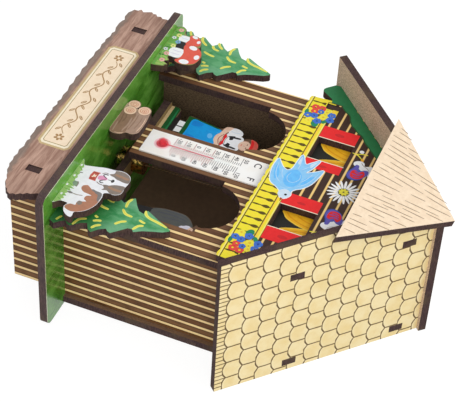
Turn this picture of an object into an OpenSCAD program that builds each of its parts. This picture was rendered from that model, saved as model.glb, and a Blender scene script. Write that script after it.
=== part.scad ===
// Weather house: a laser-cut board house with a thermometer on its centre pillar
// and two figures on a beam that turns on a gut string as the air grows damp or dry.
// Lengths are in millimetres. The house stands upright with its front towards -Y.

/* [Boards and fits] */
// Thickness of every laser-cut board
board_t = 3.2; // [2.8:0.1:3.8]
// Clearance on each side of a tab in its mortise
tab_gap = 0.1; // [0.05:0.01:0.2]
// Width of the tabs that lock the boards together
tab_w = 5.7; // [4:0.1:7]
// How far the end of a front tab lies below the face around it
tab_sink = 0.4; // [0:0.1:1]

/* [House body] */
// Width over the outer faces of the side walls
body_w = 97.6; // [94:0.1:102]
// Depth over the outer faces of the front and rear walls
body_d = 50.1; // [45:0.1:58]
// How far the front wall stands proud of each side wall
front_over = 2.5; // [0.5:0.1:4]
// How far the rear wall stands proud of each side wall
rear_over = 1.8; // [0.5:0.1:4]
// Height of the upper front tabs of the side walls above the lawn
wall_tab_z = 74.4; // [70:0.1:77]
// Height of the lower rear tabs of the side walls above the lawn
rear_tab_z = 22; // [16:0.1:30]
// Width of each foot tab of the front wall
foot_tab_w = 4; // [3:0.1:5]
// Height of the rear wall's access hole above the lawn
access_z = 108; // [106:0.1:109]
// Radius of the rear wall's access hole for the adjusting peg
access_r = 6; // [5:0.1:7]
// Height of the hanging hole above the lawn
hang_z = 119; // [118:0.1:120]
// Radius of the hanging hole
hang_r = 2.5; // [2:0.1:3]

/* [Roof] */
// Pitch of the roof in degrees
roof_pitch = 43.3; // [42:0.1:45]
// Half width of the roof at its outer lower edges
eave_x = 66.7; // [64:0.1:69]
// Height of the roof's outer lower edges above the lawn
eave_z = 71.85; // [70:0.05:74]
// Roof overhang in front of the front wall's face
roof_front = 15.6; // [13:0.1:18]
// Roof overhang behind the rear wall's outer face
roof_rear = 2.6; // [1:0.1:5]
// Lip of the left panel's end above the right panel at the ridge
ridge_lip = 1.9; // [0:0.1:3]
// Distance of the lower roof tabs' middle in from the side walls' outer faces
roof_tab_in = 5; // [4:0.1:9]
// Distance of the upper roof tabs' middle from the middle of the house
roof_tab_x = 9.6; // [8:0.1:13]
// Height of the hip panel's lower edge above the lawn
hip_z = 104; // [100:0.1:108]
// Distance of the hip panel's lower edge in front of the front wall's face
hip_y = 16.5; // [15.6:0.1:19]
// Backward tilt of the hip panel in degrees
hip_tilt = 14.6; // [12:0.1:17]
// How far the hip panel's lower corners reach past the roof at each side
hip_over = 4; // [1:0.1:5]
// Slope of the hip panel's two upper edges within its own face, in degrees
hip_slope = 44.9; // [43.5:0.1:46]

/* [Lawn and plinth] */
// How far the lawn reaches past each side wall
lawn_over = 15.6; // [13:0.1:19]
// Distance of the lawn's front edge in front of the front wall's face
lawn_front = 16; // [14.5:0.1:18]
// How far the lawn reaches behind the rear wall's outer face
lawn_back = 1.1; // [0.3:0.1:3]
// Radius of the lawn's corners
lawn_r = 3.5; // [2:0.1:6]
// Height of the lawn's upper face above the surface that the house stands on
lawn_h = 22.4; // [21:0.1:26]
// Distance of the plinth walls' front edges in front of the front wall's face
plinth_front = 10.2; // [9:0.1:11]
// How far the plinth walls end before the rear wall's outer face
plinth_back = 4.6; // [3.4:0.1:10]
// Depth behind the front wall's face at which wall notch and lawn slot meet
lap_y = 24; // [16:0.1:34]
// Depth of the sign tabs' middle below the lawn's upper face
sign_tab_z = 12.4; // [10:0.1:15]
// Half length of the sign board's upper edge
sign_x = 58.8; // [56.5:0.1:60]

/* [Doorways] */
// Width of the centre pillar
pillar_w = 18.4; // [17:0.1:20]
// Distance of each doorway's outer side from the middle of the house
door_x = 40; // [38:0.1:41]
// Height of the shoulders where each doorway narrows to its arch
door_z = 50.3; // [48:0.1:51]
// Height of the arch's centre
arch_z = 49; // [47:0.1:50]
// Radius of the arch
arch_r = 12.6; // [11:0.1:13]
// Height of the pillar's lower end above the lawn
pillar_foot = 9.2; // [8.6:0.1:11]

/* [Facade] */
// How far the balcony stands proud of each side wall
balcony_over = 2.2; // [1.4:0.1:3.2]
// Height of the balcony's lower edge
balcony_z = 63.3; // [62.2:0.1:65]
// Height of the waves in the balcony's lower edge
wave_h = 0.5; // [0:0.1:1]
// Distance of each window's inner side from the middle
window_x = 14.6; // [13:0.1:16]
// Width of each window
window_w = 13.3; // [12:0.1:15]
// Height of the window sill
window_z = 75.3; // [74:0.1:77]
// Height of each window
window_h = 14.5; // [12:0.1:15]
// Slope distance from the roof's lower edge to the outer end of the verge
verge_end = 7.4; // [5:0.1:9]

/* [Thermometer] */
// Width of the scale strip
strip_w = 13.6; // [11:0.1:14.4]
// Offset of the strip's middle from the middle of the pillar
strip_x = 0.2; // [0:0.1:0.6]
// Height of the strip's lower end
strip_z = 12.5; // [11:0.1:15]
// Length of the strip
strip_h = 50.2; // [46:0.1:50.5]
// Thickness of the strip
strip_t = 0.6; // [0.4:0.1:0.8]
// Offset of the glass tube from the middle of the pillar
tube_x = 0.4; // [-1:0.1:1]
// Outer radius of the glass tube
tube_r = 0.75; // [0.6:0.05:1]
// Outer radius of the bulb
bulb_r = 1.9; // [1.6:0.1:2.2]
// Height of the bulb's centre
bulb_z = 19.9; // [18:0.1:22]
// Height of the tube's upper end
tube_top = 50; // [46:0.1:54]
// Radius of the tube's bore
tube_bore = 0.25; // [0.15:0.05:0.35]
// Wall of the bulb
bulb_wall = 0.35; // [0.3:0.05:0.5]
// Height of the top of the red column
spirit_top = 41.5; // [30:0.1:45]

/* [Garden pieces] */
// Distance of the dog's middle in from the lawn's right end
dog_in = 19.4; // [16:0.1:21]
// Height of the dog
dog_h = 21.4; // [18:0.1:24]
// Distance of the dog's face in front of the front wall
dog_y = 9.6; // [8:0.1:12]
// Distance of the mushrooms' middle in from the lawn's left end
mushroom_in = 17.4; // [15:0.1:20]
// Height of the mushrooms
mushroom_h = 16.7; // [13:0.1:19]
// Distance of the mushrooms' face in front of the front wall
mushroom_y = 11.5; // [8:0.1:14]
// Offset of the log pile from the middle of the house
log_x = 0; // [-3:0.1:3]
// Height of the log pile
log_h = 11.6; // [9:0.1:13]
// Distance of the log pile's face in front of the front wall
log_y = 7.5; // [6.5:0.1:12]
// Distance of the right fir's tip in from the right side wall's outer face
tree_right_in = 2.7; // [0:0.1:3.3]
// Distance of the left fir's tip out from the left side wall's outer face
tree_left_out = 7.4; // [4:0.1:8]
// Height of the firs
tree_h = 43.2; // [38:0.1:46]

/* [Swing] */
// Depth of the swing's axis behind the front wall's face
axis_y = 13.5; // [12.5:0.1:15]
// Height of the beam's upper face above the lawn
beam_z = 7.7; // [7.2:0.1:8]
// Width of the beam
beam_w = 8; // [6:0.1:9]
// Reach of the beam on the woman's side
beam_left = 37; // [36.5:0.1:37.5]
// Reach of the beam on the man's side
beam_right = 35; // [34:0.1:35.5]
// Distance of each figure's middle from the axis
figure_x = 26; // [25.5:0.1:26.2]
// Width of the foot of each figure in the beam
foot_w = 6; // [4:0.1:8]
// Height of the woman above the beam
woman_h = 42.5; // [38:0.1:42.5]
// Height of the man above the beam
man_h = 42.3; // [38:0.1:42.3]
// Width of the woman's base
woman_base = 21.6; // [18:0.1:22]
// Width of the man's base
man_base = 17.6; // [16:0.1:18]
// Height of the figures' bases
base_h = 4.8; // [4:0.1:6]
// Radius of the brass balance weight
weight_r = 5.5; // [4:0.1:6.5]
// Height of the brass balance weight
weight_h = 2.5; // [1.5:0.1:3]
// Radius of the brass gut clamp
clamp_r = 4.2; // [3:0.1:5]
// Height of the brass gut clamp
clamp_h = 4.6; // [3:0.1:6]
// Radius of the gut string
gut_r = 0.4; // [0.3:0.05:0.5]
// Radius of the guide pin
pin_r = 0.8; // [0.6:0.05:1]
// Running clearance of pins in their bores, on the radius
run_gap = 0.08; // [0.05:0.01:0.1]

/* [Adjuster] */
// Height of the gut bridge's upper face above the lawn
bridge_z = 101; // [99:0.1:102]
// Width of the gut bridge
bridge_w = 16; // [14:0.1:20]
// Radius of the adjusting peg's shank
peg_r = 2; // [1.8:0.1:2.4]
// Radius of the adjusting peg's head
head_r = 5; // [4:0.1:6]
// Height of the adjusting peg's head
head_h = 6; // [4:0.1:7]
// Radius of the washer that holds the peg in the bridge
washer_r = 4; // [3.4:0.1:5]
// Thickness of the washer
washer_t = 0.8; // [0.6:0.1:1.2]

/* [Hidden] */
$fn = 64;

t = board_t;
wall_x = body_w / 2;
front_x = wall_x + front_over;
balcony_x = wall_x + balcony_over;
lawn_x = wall_x + lawn_over;
dog_x = lawn_x - dog_in;
mushroom_x = lawn_x - mushroom_in;
tree_right_x = wall_x - tree_right_in;
tree_left_x = wall_x + tree_left_out;
rear_x = wall_x + rear_over;
rear_y = body_d - t;
plinth_y = body_d - plinth_back;
tan_p = tan(roof_pitch);
cos_p = cos(roof_pitch);
sin_p = sin(roof_pitch);
sin_2p = sin(2 * roof_pitch);
slope_len = eave_x / cos_p;
roof_tab_low = (eave_x - wall_x + roof_tab_in) / cos_p;
roof_tab_high = (eave_x - roof_tab_x) / cos_p;
ridge_z = eave_z + eave_x * tan_p;
roof_back_y = body_d + roof_rear;
hip_x = eave_x - (hip_z - eave_z) / tan_p + hip_over;
hip_h = hip_x * tan(hip_slope);
pillar_x = pillar_w / 2;
door_mid = (pillar_x + door_x) / 2;
foot_tab_x = (door_x + wall_x - t) / 2;
tube_y = -strip_t - tube_r;
bulb_y = -bulb_r - 0.05;
bridge_end = rear_y + t;

// Height of the roof's underside at distance x from the middle
function under(x) = eave_z + (eave_x - abs(x)) * tan_p - t / cos_p;

// Fir outline: half widths and heights of tips and notches, as shares of the height below the top
tree_left_side = [[0, 0], [1.5, 2.6], [3.2, 6.4], [6.1, 11.6], [5.2, 12.7], [3.9, 12.5], [4.6, 14.8],
    [7, 16.7], [10.4, 18.8], [9.4, 20.2], [6.3, 21.7], [7.5, 23.6], [10.3, 26], [9.4, 27], [6.9, 28.9],
    [9, 31.6], [11.1, 34], [9.9, 35.6], [8.2, 36.8], [10, 38.4], [12.3, 40.2], [11.4, 43.2]];
tree_right_side = [[0.8, 0.2], [2.2, 2.2], [3.4, 5.8], [4.8, 9.4], [6.6, 12.1], [5.4, 13.2],
    [5.6, 14.8], [8.2, 17.2], [10.7, 19.7], [10.2, 21], [9.2, 22], [10.6, 24.2], [13.3, 26.4],
    [12.2, 28], [9.4, 29.6], [10.4, 31.8], [13.4, 35], [12.9, 36.3], [11.6, 37.6], [12.8, 39.2],
    [14.7, 41], [13.4, 43.2]];
tree_share = tree_h / 43.2;
tree_tail = 12.3 * tree_share;
tree_outline = [
    for (p = tree_left_side) [-p[0] * tree_share, tree_h - p[1] * tree_share],
    for (i = [len(tree_right_side) - 1 : -1 : 0])
        [tree_right_side[i][0] * tree_share, tree_h - tree_right_side[i][1] * tree_share]
];

// Frame: the origin is the middle of the whole house, on the surface that it stands on
left_reach = max(eave_x, tree_left_x + tree_tail);
mid_x = (eave_x - left_reach) / 2;
mid_y = (roof_back_y - max(hip_y, roof_front, lawn_front)) / 2;

// Point of a Catmull-Rom curve through a, b, c, d at share u between b and c
function bend(a, b, c, d, u) =
    b + (c - a) * (u / 2)
    + (2 * a - 5 * b + 4 * c - d) * (u * u / 2)
    + (3 * b - a - 3 * c + d) * (u * u * u / 2);

// Smooth open outline through the points p, with n steps between neighbours
function run_along(p, n) = let (m = len(p)) [
    for (i = [0 : m - 2]) for (j = [0 : n - 1])
        bend(p[max(i - 1, 0)], p[i], p[i + 1], p[min(i + 2, m - 1)], j / n),
    p[m - 1]
];

// Puts the house's own frame, with its zero at the front wall's foot, into the frame of the part
module place() {
    translate([-mid_x, -mid_y, lawn_h]) children();
}

// Stands a flat outline up as a board between depths y0 and y1
module upright(y0, y1) {
    translate([0, y1, 0]) rotate([90, 0, 0]) linear_extrude(y1 - y0) children();
}

// Rectangle from corner a to corner b
module area(a, b) {
    translate(a) square(b - a);
}

// Block from corner a to corner b
module block(a, b) {
    translate(a) cube(b - a);
}

// Point of the roof on side k, at slope distance s from the lower edge and depth d below the outer face
function on_roof(k, s, d) = [k * (eave_x - s * cos_p - d * sin_p), eave_z + s * sin_p - d * cos_p];

// Tab or mortise through the roof on side k around slope distance s, grown by g at its ends,
// from depth d to height h above the roof's outer face
module roof_tab(k, s, g, d, h) {
    a = s - tab_w / 2 - g;
    b = s + tab_w / 2 + g;
    polygon(k > 0
        ? [on_roof(k, a, d), on_roof(k, a, -h), on_roof(k, b, -h), on_roof(k, b, d)]
        : [on_roof(k, a, d), on_roof(k, b, d), on_roof(k, b, -h), on_roof(k, a, -h)]);
}

// The four roof tabs of a gable wall
module roof_tabs() {
    for (k = [-1, 1]) for (s = [roof_tab_low, roof_tab_high]) roof_tab(k, s, 0, t + 1, 0);
}

// Gable wall outline of half width w whose foot is at height z
module gable(w, z) {
    polygon([[-w, z], [w, z], [w, under(w)], [0, under(0)], [-w, under(w)]]);
}

// Mortises through a front or rear board for the tabs of the side walls
module wall_mortises(z, g) {
    for (s = [-1, 1])
        translate([s * (wall_x - t / 2), z]) square([t + 2 * g, tab_w + 2 * g], center = true);
}

// Outline of one doorway on the right of the pillar
module doorway() {
    area([pillar_x, 0], [door_x, door_z]);
    translate([door_mid, arch_z]) circle(arch_r);
}

module lawn() {
    rear = body_d + lawn_back;
    color([0.36, 0.62, 0.2]) place() translate([0, 0, -t]) linear_extrude(t) difference() {
        union() {
            area([-lawn_x, -lawn_front + lawn_r], [lawn_x, rear - lawn_r]);
            area([-lawn_x + lawn_r, -lawn_front], [lawn_x - lawn_r, rear]);
            for (s = [-1, 1]) for (y = [-lawn_front + lawn_r, rear - lawn_r])
                translate([s * (lawn_x - lawn_r), y]) circle(lawn_r);
        }
        for (s = [-1, 1]) {
            translate([s * (wall_x - t / 2), (lap_y + rear + 1) / 2])
                square([t + 2 * tab_gap, rear + 1 - lap_y], center = true);
            translate([s * foot_tab_x, t / 2]) square([foot_tab_w, t] + 2 * tab_gap * [1, 1], center = true);
        }
        translate([0, axis_y]) circle(pin_r);
    }
}

// Side wall and its plinth in one board, seen from the side: x is depth, y is height
module side_outline() {
    difference() {
        union() {
            area([t, 0], [rear_y, under(wall_x)]);
            for (z = [rear_tab_z, wall_tab_z])
                area([rear_y - 1, z - tab_w / 2], [body_d - tab_sink, z + tab_w / 2]);
            area([-plinth_front, -lawn_h], [plinth_y, 0]);
            area([-t + tab_sink, wall_tab_z - tab_w / 2], [t + 1, wall_tab_z + tab_w / 2]);
            area([-plinth_front - t + tab_sink, -sign_tab_z - tab_w / 2], [0, -sign_tab_z + tab_w / 2]);
        }
        area([-plinth_front - 1, -t - tab_gap], [lap_y + tab_gap, 0]);
    }
}

module side_wall(s) {
    color([0.47, 0.35, 0.26]) place() translate([s > 0 ? wall_x - t : -wall_x, 0, 0])
        rotate([90, 0, 90]) linear_extrude(t) side_outline();
}

module wall_left() {
    side_wall(-1);
}

module wall_right() {
    side_wall(1);
}

module front_wall() {
    color([0.62, 0.5, 0.45]) place() {
        upright(0, t) difference() {
            union() {
                gable(front_x, 0);
                roof_tabs();
                for (s = [-1, 1])
                    translate([s * foot_tab_x, -t / 2]) square([foot_tab_w, t], center = true);
            }
            for (m = [0, 1]) mirror([m, 0]) doorway();
            area([-door_x, -1], [door_x, pillar_foot]);
            wall_mortises(wall_tab_z, tab_gap);
            translate([0, bridge_z - t / 2]) square([tab_w + 2 * tab_gap, t + 2 * tab_gap], center = true);
        }
    }
}

module rear_wall() {
    color([0.55, 0.43, 0.36]) place() difference() {
        upright(rear_y, rear_y + t) difference() {
            union() {
                gable(rear_x, 0);
                roof_tabs();
            }
            for (z = [rear_tab_z, wall_tab_z]) wall_mortises(z, tab_gap);
            translate([0, bridge_z - t / 2]) square([tab_w + 2 * tab_gap, t + 2 * tab_gap], center = true);
        }
        for (h = [[access_z, access_r], [hang_z, hang_r]])
            translate([0, rear_y - 1, h[0]]) rotate([-90, 0, 0]) cylinder(h = t + 2, r = h[1]);
    }
}

// Right half of the facade's outer edge, from the balcony's lower corner to the ridge
verge_x = eave_x - verge_end * cos_p;
facade_side = concat(
    [[balcony_x - 0.4, balcony_z + 0.4]],
    run_along([[balcony_x + 0.1, balcony_z + 8.9], [balcony_x + 1.2, balcony_z + 8.5],
        [balcony_x + 3, balcony_z + 5.9], [balcony_x + 4.4, balcony_z + 3.9],
        [balcony_x + 5.6, balcony_z + 3.4], [balcony_x + 7, balcony_z + 4],
        [balcony_x + 8.8, balcony_z + 5.7], [verge_x, under(verge_x) - 1.6]], 4),
    [[verge_x, under(verge_x)]]);
wave_pitch = 4.1;
wave_n = floor((balcony_x - 1) / wave_pitch);
wave_edge = [
    for (i = [-wave_n * 4 : wave_n * 4])
        [i * wave_pitch / 4, balcony_z + wave_h * (1 - abs(cos(i * 45)))]
];

module facade() {
    color([0.85, 0.75, 0.25]) place() upright(-t, 0) difference() {
        polygon(concat(
            wave_edge,
            facade_side,
            [[0, under(0)]],
            [for (i = [len(facade_side) - 1 : -1 : 0]) [-facade_side[i][0], facade_side[i][1]]]));
        for (s = [-1, 1])
            translate([s * (window_x + window_w / 2), window_z + window_h / 2])
                square([window_w, window_h], center = true);
        wall_mortises(wall_tab_z, tab_gap);
    }
}

// Rough broken edge of the sign board, from its right end under the lawn round to its left end
sign_edge = [[58.6, 5.2], [59.9, 7.2], [60, 8.6], [61.2, 9.8], [61.3, 10.9], [62.5, 12.1], [62.4, 13.3],
    [63.1, 14.3], [62.3, 15.8], [61, 16.4], [60.5, 17.4], [58.8, 18], [57.9, 18.9], [55.8, 19.2],
    [54.4, 20.1], [52.5, 20.6], [51.6, 21.4], [49.8, 21.5], [48.3, 22.2], [45.9, 22], [44.2, 22.5],
    [42, 22], [39.8, 22.6], [37.2, 21.8], [35.2, 22.2], [33.8, 22.3], [32.5, 21.6], [31.2, 22.3],
    [28.3, 22.2], [25.7, 22.5], [24.6, 22.3], [23.5, 21.5], [22.2, 21.9], [21.3, 22.5], [19.8, 21.9],
    [16.5, 22.4], [13.6, 21.8], [12.2, 22.3], [9.6, 21.6], [8, 22.3], [6.3, 21.6], [3.6, 22.1],
    [0.4, 21.7], [-2.6, 22.4], [-5.2, 21.9], [-8.6, 22.5], [-11, 22], [-14.4, 22.6], [-17.4, 22],
    [-20.6, 22.7], [-23.8, 22.1], [-26.6, 22.6], [-29.6, 21.9], [-32.2, 22.5], [-34.4, 22], [-36, 22.4],
    [-38.6, 21.6], [-41, 21.9], [-42.4, 21.2], [-44.8, 22], [-48.2, 22.1], [-50.4, 21.6], [-51.6, 20.9],
    [-53.4, 21.9], [-56.8, 21.7], [-58.2, 20.8], [-59.5, 20.3], [-59.5, 18.6], [-60.8, 17.6],
    [-59.5, 16.1], [-60.3, 14.5], [-61.1, 12.9], [-60.2, 11.8], [-60.5, 10.6], [-59.3, 9.7],
    [-59.8, 8.2], [-58.8, 7], [-59.1, 5.5]];
sign_share = sign_x / 58.8;
sign_drop = lawn_h / 22.4;

module sign_board() {
    color([0.62, 0.5, 0.46]) place() upright(-plinth_front - t, -plinth_front) difference() {
        polygon(concat(
            [[-sign_x, -t], [sign_x - 0.4, -t]],
            [for (p = sign_edge) [p[0] * sign_share, -p[1] * sign_drop]]));
        wall_mortises(-sign_tab_z, tab_gap);
    }
}

// Room that the tilted hip panel takes from the roof panels
module hip_room() {
    translate([0, -hip_y, hip_z]) rotate([-hip_tilt, 0, 0])
        block([-2 * eave_x, -60, 0], [2 * eave_x, t, 2 * hip_h]);
}

// Left roof panel of slope length len, drawn from its lower edge
module roof_panel(len) {
    difference() {
        upright(-roof_front, roof_back_y)
            polygon([on_roof(-1, 0, t), on_roof(-1, len, t), on_roof(-1, len, 0), on_roof(-1, 0, 0)]);
        for (y = [0, rear_y]) upright(y - tab_gap, y + t + tab_gap)
            for (s = [roof_tab_low, roof_tab_high]) roof_tab(-1, s, tab_gap, t + 1, 1);
        hip_room();
    }
}

module roof_left() {
    color([0.96, 0.87, 0.67]) place() roof_panel(slope_len + ridge_lip);
}

module roof_right() {
    color([0.96, 0.87, 0.67]) place() mirror([1, 0, 0]) roof_panel(slope_len - t / sin_2p);
}

module hip_panel() {
    color([0.98, 0.89, 0.78]) place() translate([0, -hip_y, hip_z]) rotate([-hip_tilt, 0, 0])
        upright(0, t) polygon([[-hip_x, 0], [hip_x, 0], [0, hip_h]]);
}

module thermometer_strip() {
    x0 = strip_x - strip_w / 2;
    color("white") place() difference() {
        block([x0, -strip_t, strip_z], [x0 + strip_w, 0, strip_z + strip_h]);
        translate([tube_x, -strip_t - 1, bulb_z]) rotate([-90, 0, 0]) cylinder(h = strip_t + 2, r = bulb_r);
    }
}

module thermometer_tube() {
    color([0.85, 0.9, 0.92, 0.5]) place() difference() {
        union() {
            translate([tube_x, bulb_y, bulb_z]) sphere(bulb_r);
            translate([tube_x, tube_y, bulb_z]) cylinder(h = tube_top - bulb_z - tube_r, r = tube_r);
            translate([tube_x, tube_y, tube_top - tube_r]) sphere(tube_r);
        }
        translate([tube_x, bulb_y, bulb_z]) sphere(bulb_r - bulb_wall);
        translate([tube_x, tube_y, bulb_z]) cylinder(h = tube_top - bulb_z - 2 * tube_r, r = tube_bore);
    }
}

module thermometer_spirit() {
    color([0.85, 0.1, 0.1]) place() {
        translate([tube_x, bulb_y, bulb_z]) sphere(bulb_r - bulb_wall);
        translate([tube_x, tube_y, bulb_z]) cylinder(h = spirit_top - bulb_z, r = tube_bore);
    }
}

dog_outline = concat(
    [[56.9, 0], [30.2, 0]],
    run_along([[31.4, 0.8], [33.2, 1.8], [33, 3.6], [32.2, 6.9], [31.4, 9.8], [31.1, 13.8], [30.6, 15.7],
        [30.7, 17.8], [31.7, 19.9], [33.4, 21.1], [35.9, 21.4], [38.6, 21.1], [41.7, 21.3],
        [43.2, 20.3], [43.9, 18.6], [43.7, 17], [44.6, 15.2], [46.8, 15.6], [50.5, 15.5],
        [53, 14.8], [55.5, 13.4], [57.2, 11.5], [58.3, 9.6], [60, 9.8], [61.2, 9.5], [60.8, 7.7],
        [59.1, 5.7], [56.8, 4.8], [55, 5.3], [54.7, 3.6], [54.9, 2], [56.2, 0.8]], 3));

dog_share = dog_h / 21.4;

module dog() {
    color([0.9, 0.86, 0.84]) place() translate([dog_x - 45 * dog_share, 0, 0])
        upright(-dog_y, -dog_y + t) polygon(dog_outline * dog_share);
}

log_share = log_h / 11.6;

module log_pile() {
    color([0.72, 0.55, 0.45]) place() translate([log_x, 0, 0]) upright(-log_y, -log_y + t) scale(log_share) {
        for (c = [[-5.6, 2.85, 2.8], [-9.6, 2.9, 2.65], [-7.5, 8.2, 2.8]]) translate([c[0], c[1]]) circle(c[2]);
        polygon(concat(
            [[-9.6, 0], [-5, 0]],
            run_along([[6.6, 0], [8.9, 0.7], [9.5, 3.2], [8.8, 5.5], [7.3, 6.8], [7.3, 9.3],
                [5.8, 11.2], [3.2, 11.6], [-2.5, 11.5], [-6.8, 10.9]], 3),
            [[-7.5, 5.4]]));
    }
}

mushroom_outline = concat(
    [[-59, 0], [-31.4, 0]],
    run_along([[-31.6, 1.6], [-32.3, 4.4], [-32.8, 5.3], [-33.5, 5.2], [-34.1, 6.2], [-34.7, 5.3],
        [-35.3, 4.1], [-36.1, 4.6], [-36.8, 5.6], [-37.8, 5], [-38.8, 4.2], [-39.5, 4.9],
        [-39.4, 6.6], [-38.6, 7.4], [-37.5, 7.9], [-36.7, 9.6], [-36.8, 12.6], [-38.2, 15.4], [-40.9, 16.6], [-44.8, 16.7],
        [-47.3, 15.4], [-48.6, 13.6], [-50.6, 13.9], [-53.4, 13.1], [-55.6, 11.5], [-56.4, 9.4],
        [-56, 7.4], [-54.8, 6.2], [-56.4, 4.6], [-58.6, 4.2], [-60, 2.2]], 3));

module mushrooms() {
    share = mushroom_h / 16.7;
    color([0.85, 0.35, 0.32]) place() translate([47 * share - mushroom_x, 0, 0])
        upright(-mushroom_y, -mushroom_y + t) polygon(mushroom_outline * share);
}

module tree_left() {
    color([0.3, 0.65, 0.45]) place() translate([-tree_left_x, 0, 0]) upright(-t, 0) polygon(tree_outline);
}

module tree_right() {
    color([0.3, 0.65, 0.45]) place() translate([tree_right_x, 0, 0]) upright(-t, 0) polygon(tree_outline);
}

module gut_bridge() {
    color([0.6, 0.48, 0.4]) place() difference() {
        union() {
            block([-bridge_w / 2, t, bridge_z - t], [bridge_w / 2, rear_y, bridge_z]);
            block([-tab_w / 2, 0, bridge_z - t], [tab_w / 2, bridge_end, bridge_z]);
        }
        translate([0, axis_y, bridge_z - t - 1]) cylinder(h = t + 2, r = peg_r + run_gap);
    }
}

// The lower bore of the swing runs on this pin
module guide_pin() {
    color([0.75, 0.6, 0.3]) place() translate([0, axis_y, -t]) cylinder(h = t + beam_z - 1, r = pin_r);
}

module beam() {
    color([0.78, 0.66, 0.48]) place() translate([0, axis_y, 0]) difference() {
        translate([0, 0, beam_z - t]) linear_extrude(t) {
            area([-beam_left + 1.5, -beam_w / 2], [beam_right - 1.5, beam_w / 2]);
            area([-beam_left, -beam_w / 2 + 1.5], [beam_right, beam_w / 2 - 1.5]);
            for (x = [-beam_left + 1.5, beam_right - 1.5]) for (y = [-beam_w / 2 + 1.5, beam_w / 2 - 1.5])
                translate([x, y]) circle(1.5);
        }
        for (x = [-figure_x, figure_x])
            translate([x, 0, 0]) upright(-t / 2 - tab_gap, t / 2 + tab_gap)
                area([-foot_w / 2 - tab_gap, beam_z - t - 1], [foot_w / 2 + tab_gap, beam_z + 1]);
        translate([0, 0, beam_z - t - 1]) cylinder(h = t + 2, r = pin_r + run_gap);
    }
}

// Right half of the woman above her base: shoe, stocking, hem, apron, arm, shoulder, head, hat
woman_half = [[4.2, 4.6], [4.4, 6.6], [3.6, 7.8], [3.5, 9.2], [7.9, 9.5], [7.5, 14], [6.6, 19],
    [5.8, 23.4], [7.2, 25.6], [8.8, 28.2], [8.7, 31], [7, 33.2], [4.6, 34.2], [3.5, 35], [4.6, 36.4],
    [4.9, 38.2], [4.4, 39.6], [3.4, 41.4], [1.7, 42.3], [0, 42.5]];
woman_left = run_along([for (i = [len(woman_half) - 1 : -1 : 0]) [-woman_half[i][0], woman_half[i][1]]], 3);
woman_outline = concat(run_along(woman_half, 3), woman_left);

// Man above his base, round from his right shoe: coat, arm, head, hat, shoulder
man_outline = run_along([[6.2, 4.6], [6.2, 8.4], [6.5, 11], [8.2, 11.6], [8.4, 17], [8, 23], [9, 26.5],
    [8.6, 29.8], [6.6, 31.4], [5.6, 32.4], [6.8, 34.2], [6.5, 36.8], [8.4, 37.3], [8.3, 38.3],
    [6.3, 38.9], [5.8, 41.4], [3.4, 42.3], [1, 41.4], [0.5, 38.9], [-0.4, 38.4], [-0.4, 37.4],
    [0.4, 36.8], [-0.8, 36], [-2.7, 34.5], [-4, 32.6], [-4.7, 30.8],
    [-4.8, 26], [-4.3, 21.6], [-3.1, 18.4], [-2.6, 14.6], [-2.4, 11.4], [-2.1, 8.4], [-2.1, 4.6]], 3);

// Flat figure of the given outline on a base of half width w, with a foot that fills the beam's slot
module figure(outline, w) {
    cut = base_h / 4;
    upright(-t / 2, t / 2) translate([0, beam_z]) {
        area([-foot_w / 2, -t], [foot_w / 2, 1]);
        polygon([[-w, 0], [w, 0], [w, base_h - cut], [w - cut, base_h], [-w + cut, base_h],
            [-w, base_h - cut]]);
        polygon(outline);
    }
}

module woman() {
    color([0.2, 0.6, 0.85]) place() translate([-figure_x, axis_y, 0])
        figure(woman_outline * (woman_h / 42.5), woman_base / 2);
}

module man() {
    color([0.4, 0.4, 0.45]) place() translate([figure_x, axis_y, 0])
        figure(man_outline * (man_h / 42.3), man_base / 2);
}

module balance_weight() {
    top = beam_z - t;
    color([0.75, 0.6, 0.3]) place() translate([0, axis_y, top - weight_h]) difference() {
        cylinder(h = weight_h, r = weight_r);
        translate([0, 0, -1]) cylinder(h = weight_h + 2, r = pin_r + run_gap);
    }
}

screw_z = beam_z + clamp_h * 0.55;

module gut_clamp() {
    color([0.75, 0.6, 0.3]) place() translate([0, axis_y, 0]) difference() {
        translate([0, 0, beam_z]) cylinder(h = clamp_h, r = clamp_r);
        translate([0, 0, beam_z + 1]) cylinder(h = clamp_h, r = gut_r);
        translate([0, 0, screw_z]) rotate([-90, 0, 0]) cylinder(h = clamp_r + 1, r = 0.6);
    }
}

module clamp_screw() {
    color([0.7, 0.7, 0.7]) place() translate([0, axis_y, screw_z]) rotate([-90, 0, 0]) difference() {
        union() {
            translate([0, 0, gut_r]) cylinder(h = clamp_r - gut_r, r = 0.6);
            translate([0, 0, clamp_r]) cylinder(h = 0.8, r = 1.1);
        }
        translate([-0.15, -2, clamp_r + 0.45]) cube([0.3, 4, 1]);
    }
}

gut_hole = 4;
peg_foot = bridge_z - t - washer_t - 1.2;

module gut_string() {
    color([0.9, 0.85, 0.7]) place() translate([0, axis_y, beam_z + 1])
        cylinder(h = peg_foot + gut_hole - 0.5 - beam_z - 1, r = gut_r);
}

module adjusting_peg() {
    color([0.8, 0.65, 0.4]) place() translate([0, axis_y, 0]) difference() {
        union() {
            translate([0, 0, peg_foot]) cylinder(h = bridge_z + 1 - peg_foot, r = peg_r);
            translate([0, 0, bridge_z + 0.1]) cylinder(h = head_h, r = head_r);
        }
        translate([0, 0, peg_foot - 1]) cylinder(h = gut_hole + 1, r = gut_r + run_gap);
        translate([-head_r - 1, -0.6, bridge_z + head_h - 1.5]) cube([2 * head_r + 2, 1.2, 3]);
    }
}

module peg_washer() {
    color([0.75, 0.6, 0.3]) place() translate([0, axis_y, bridge_z - t - 0.1 - washer_t]) difference() {
        cylinder(h = washer_t, r = washer_r);
        translate([0, 0, -1]) cylinder(h = washer_t + 2, r = peg_r);
    }
}

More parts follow.
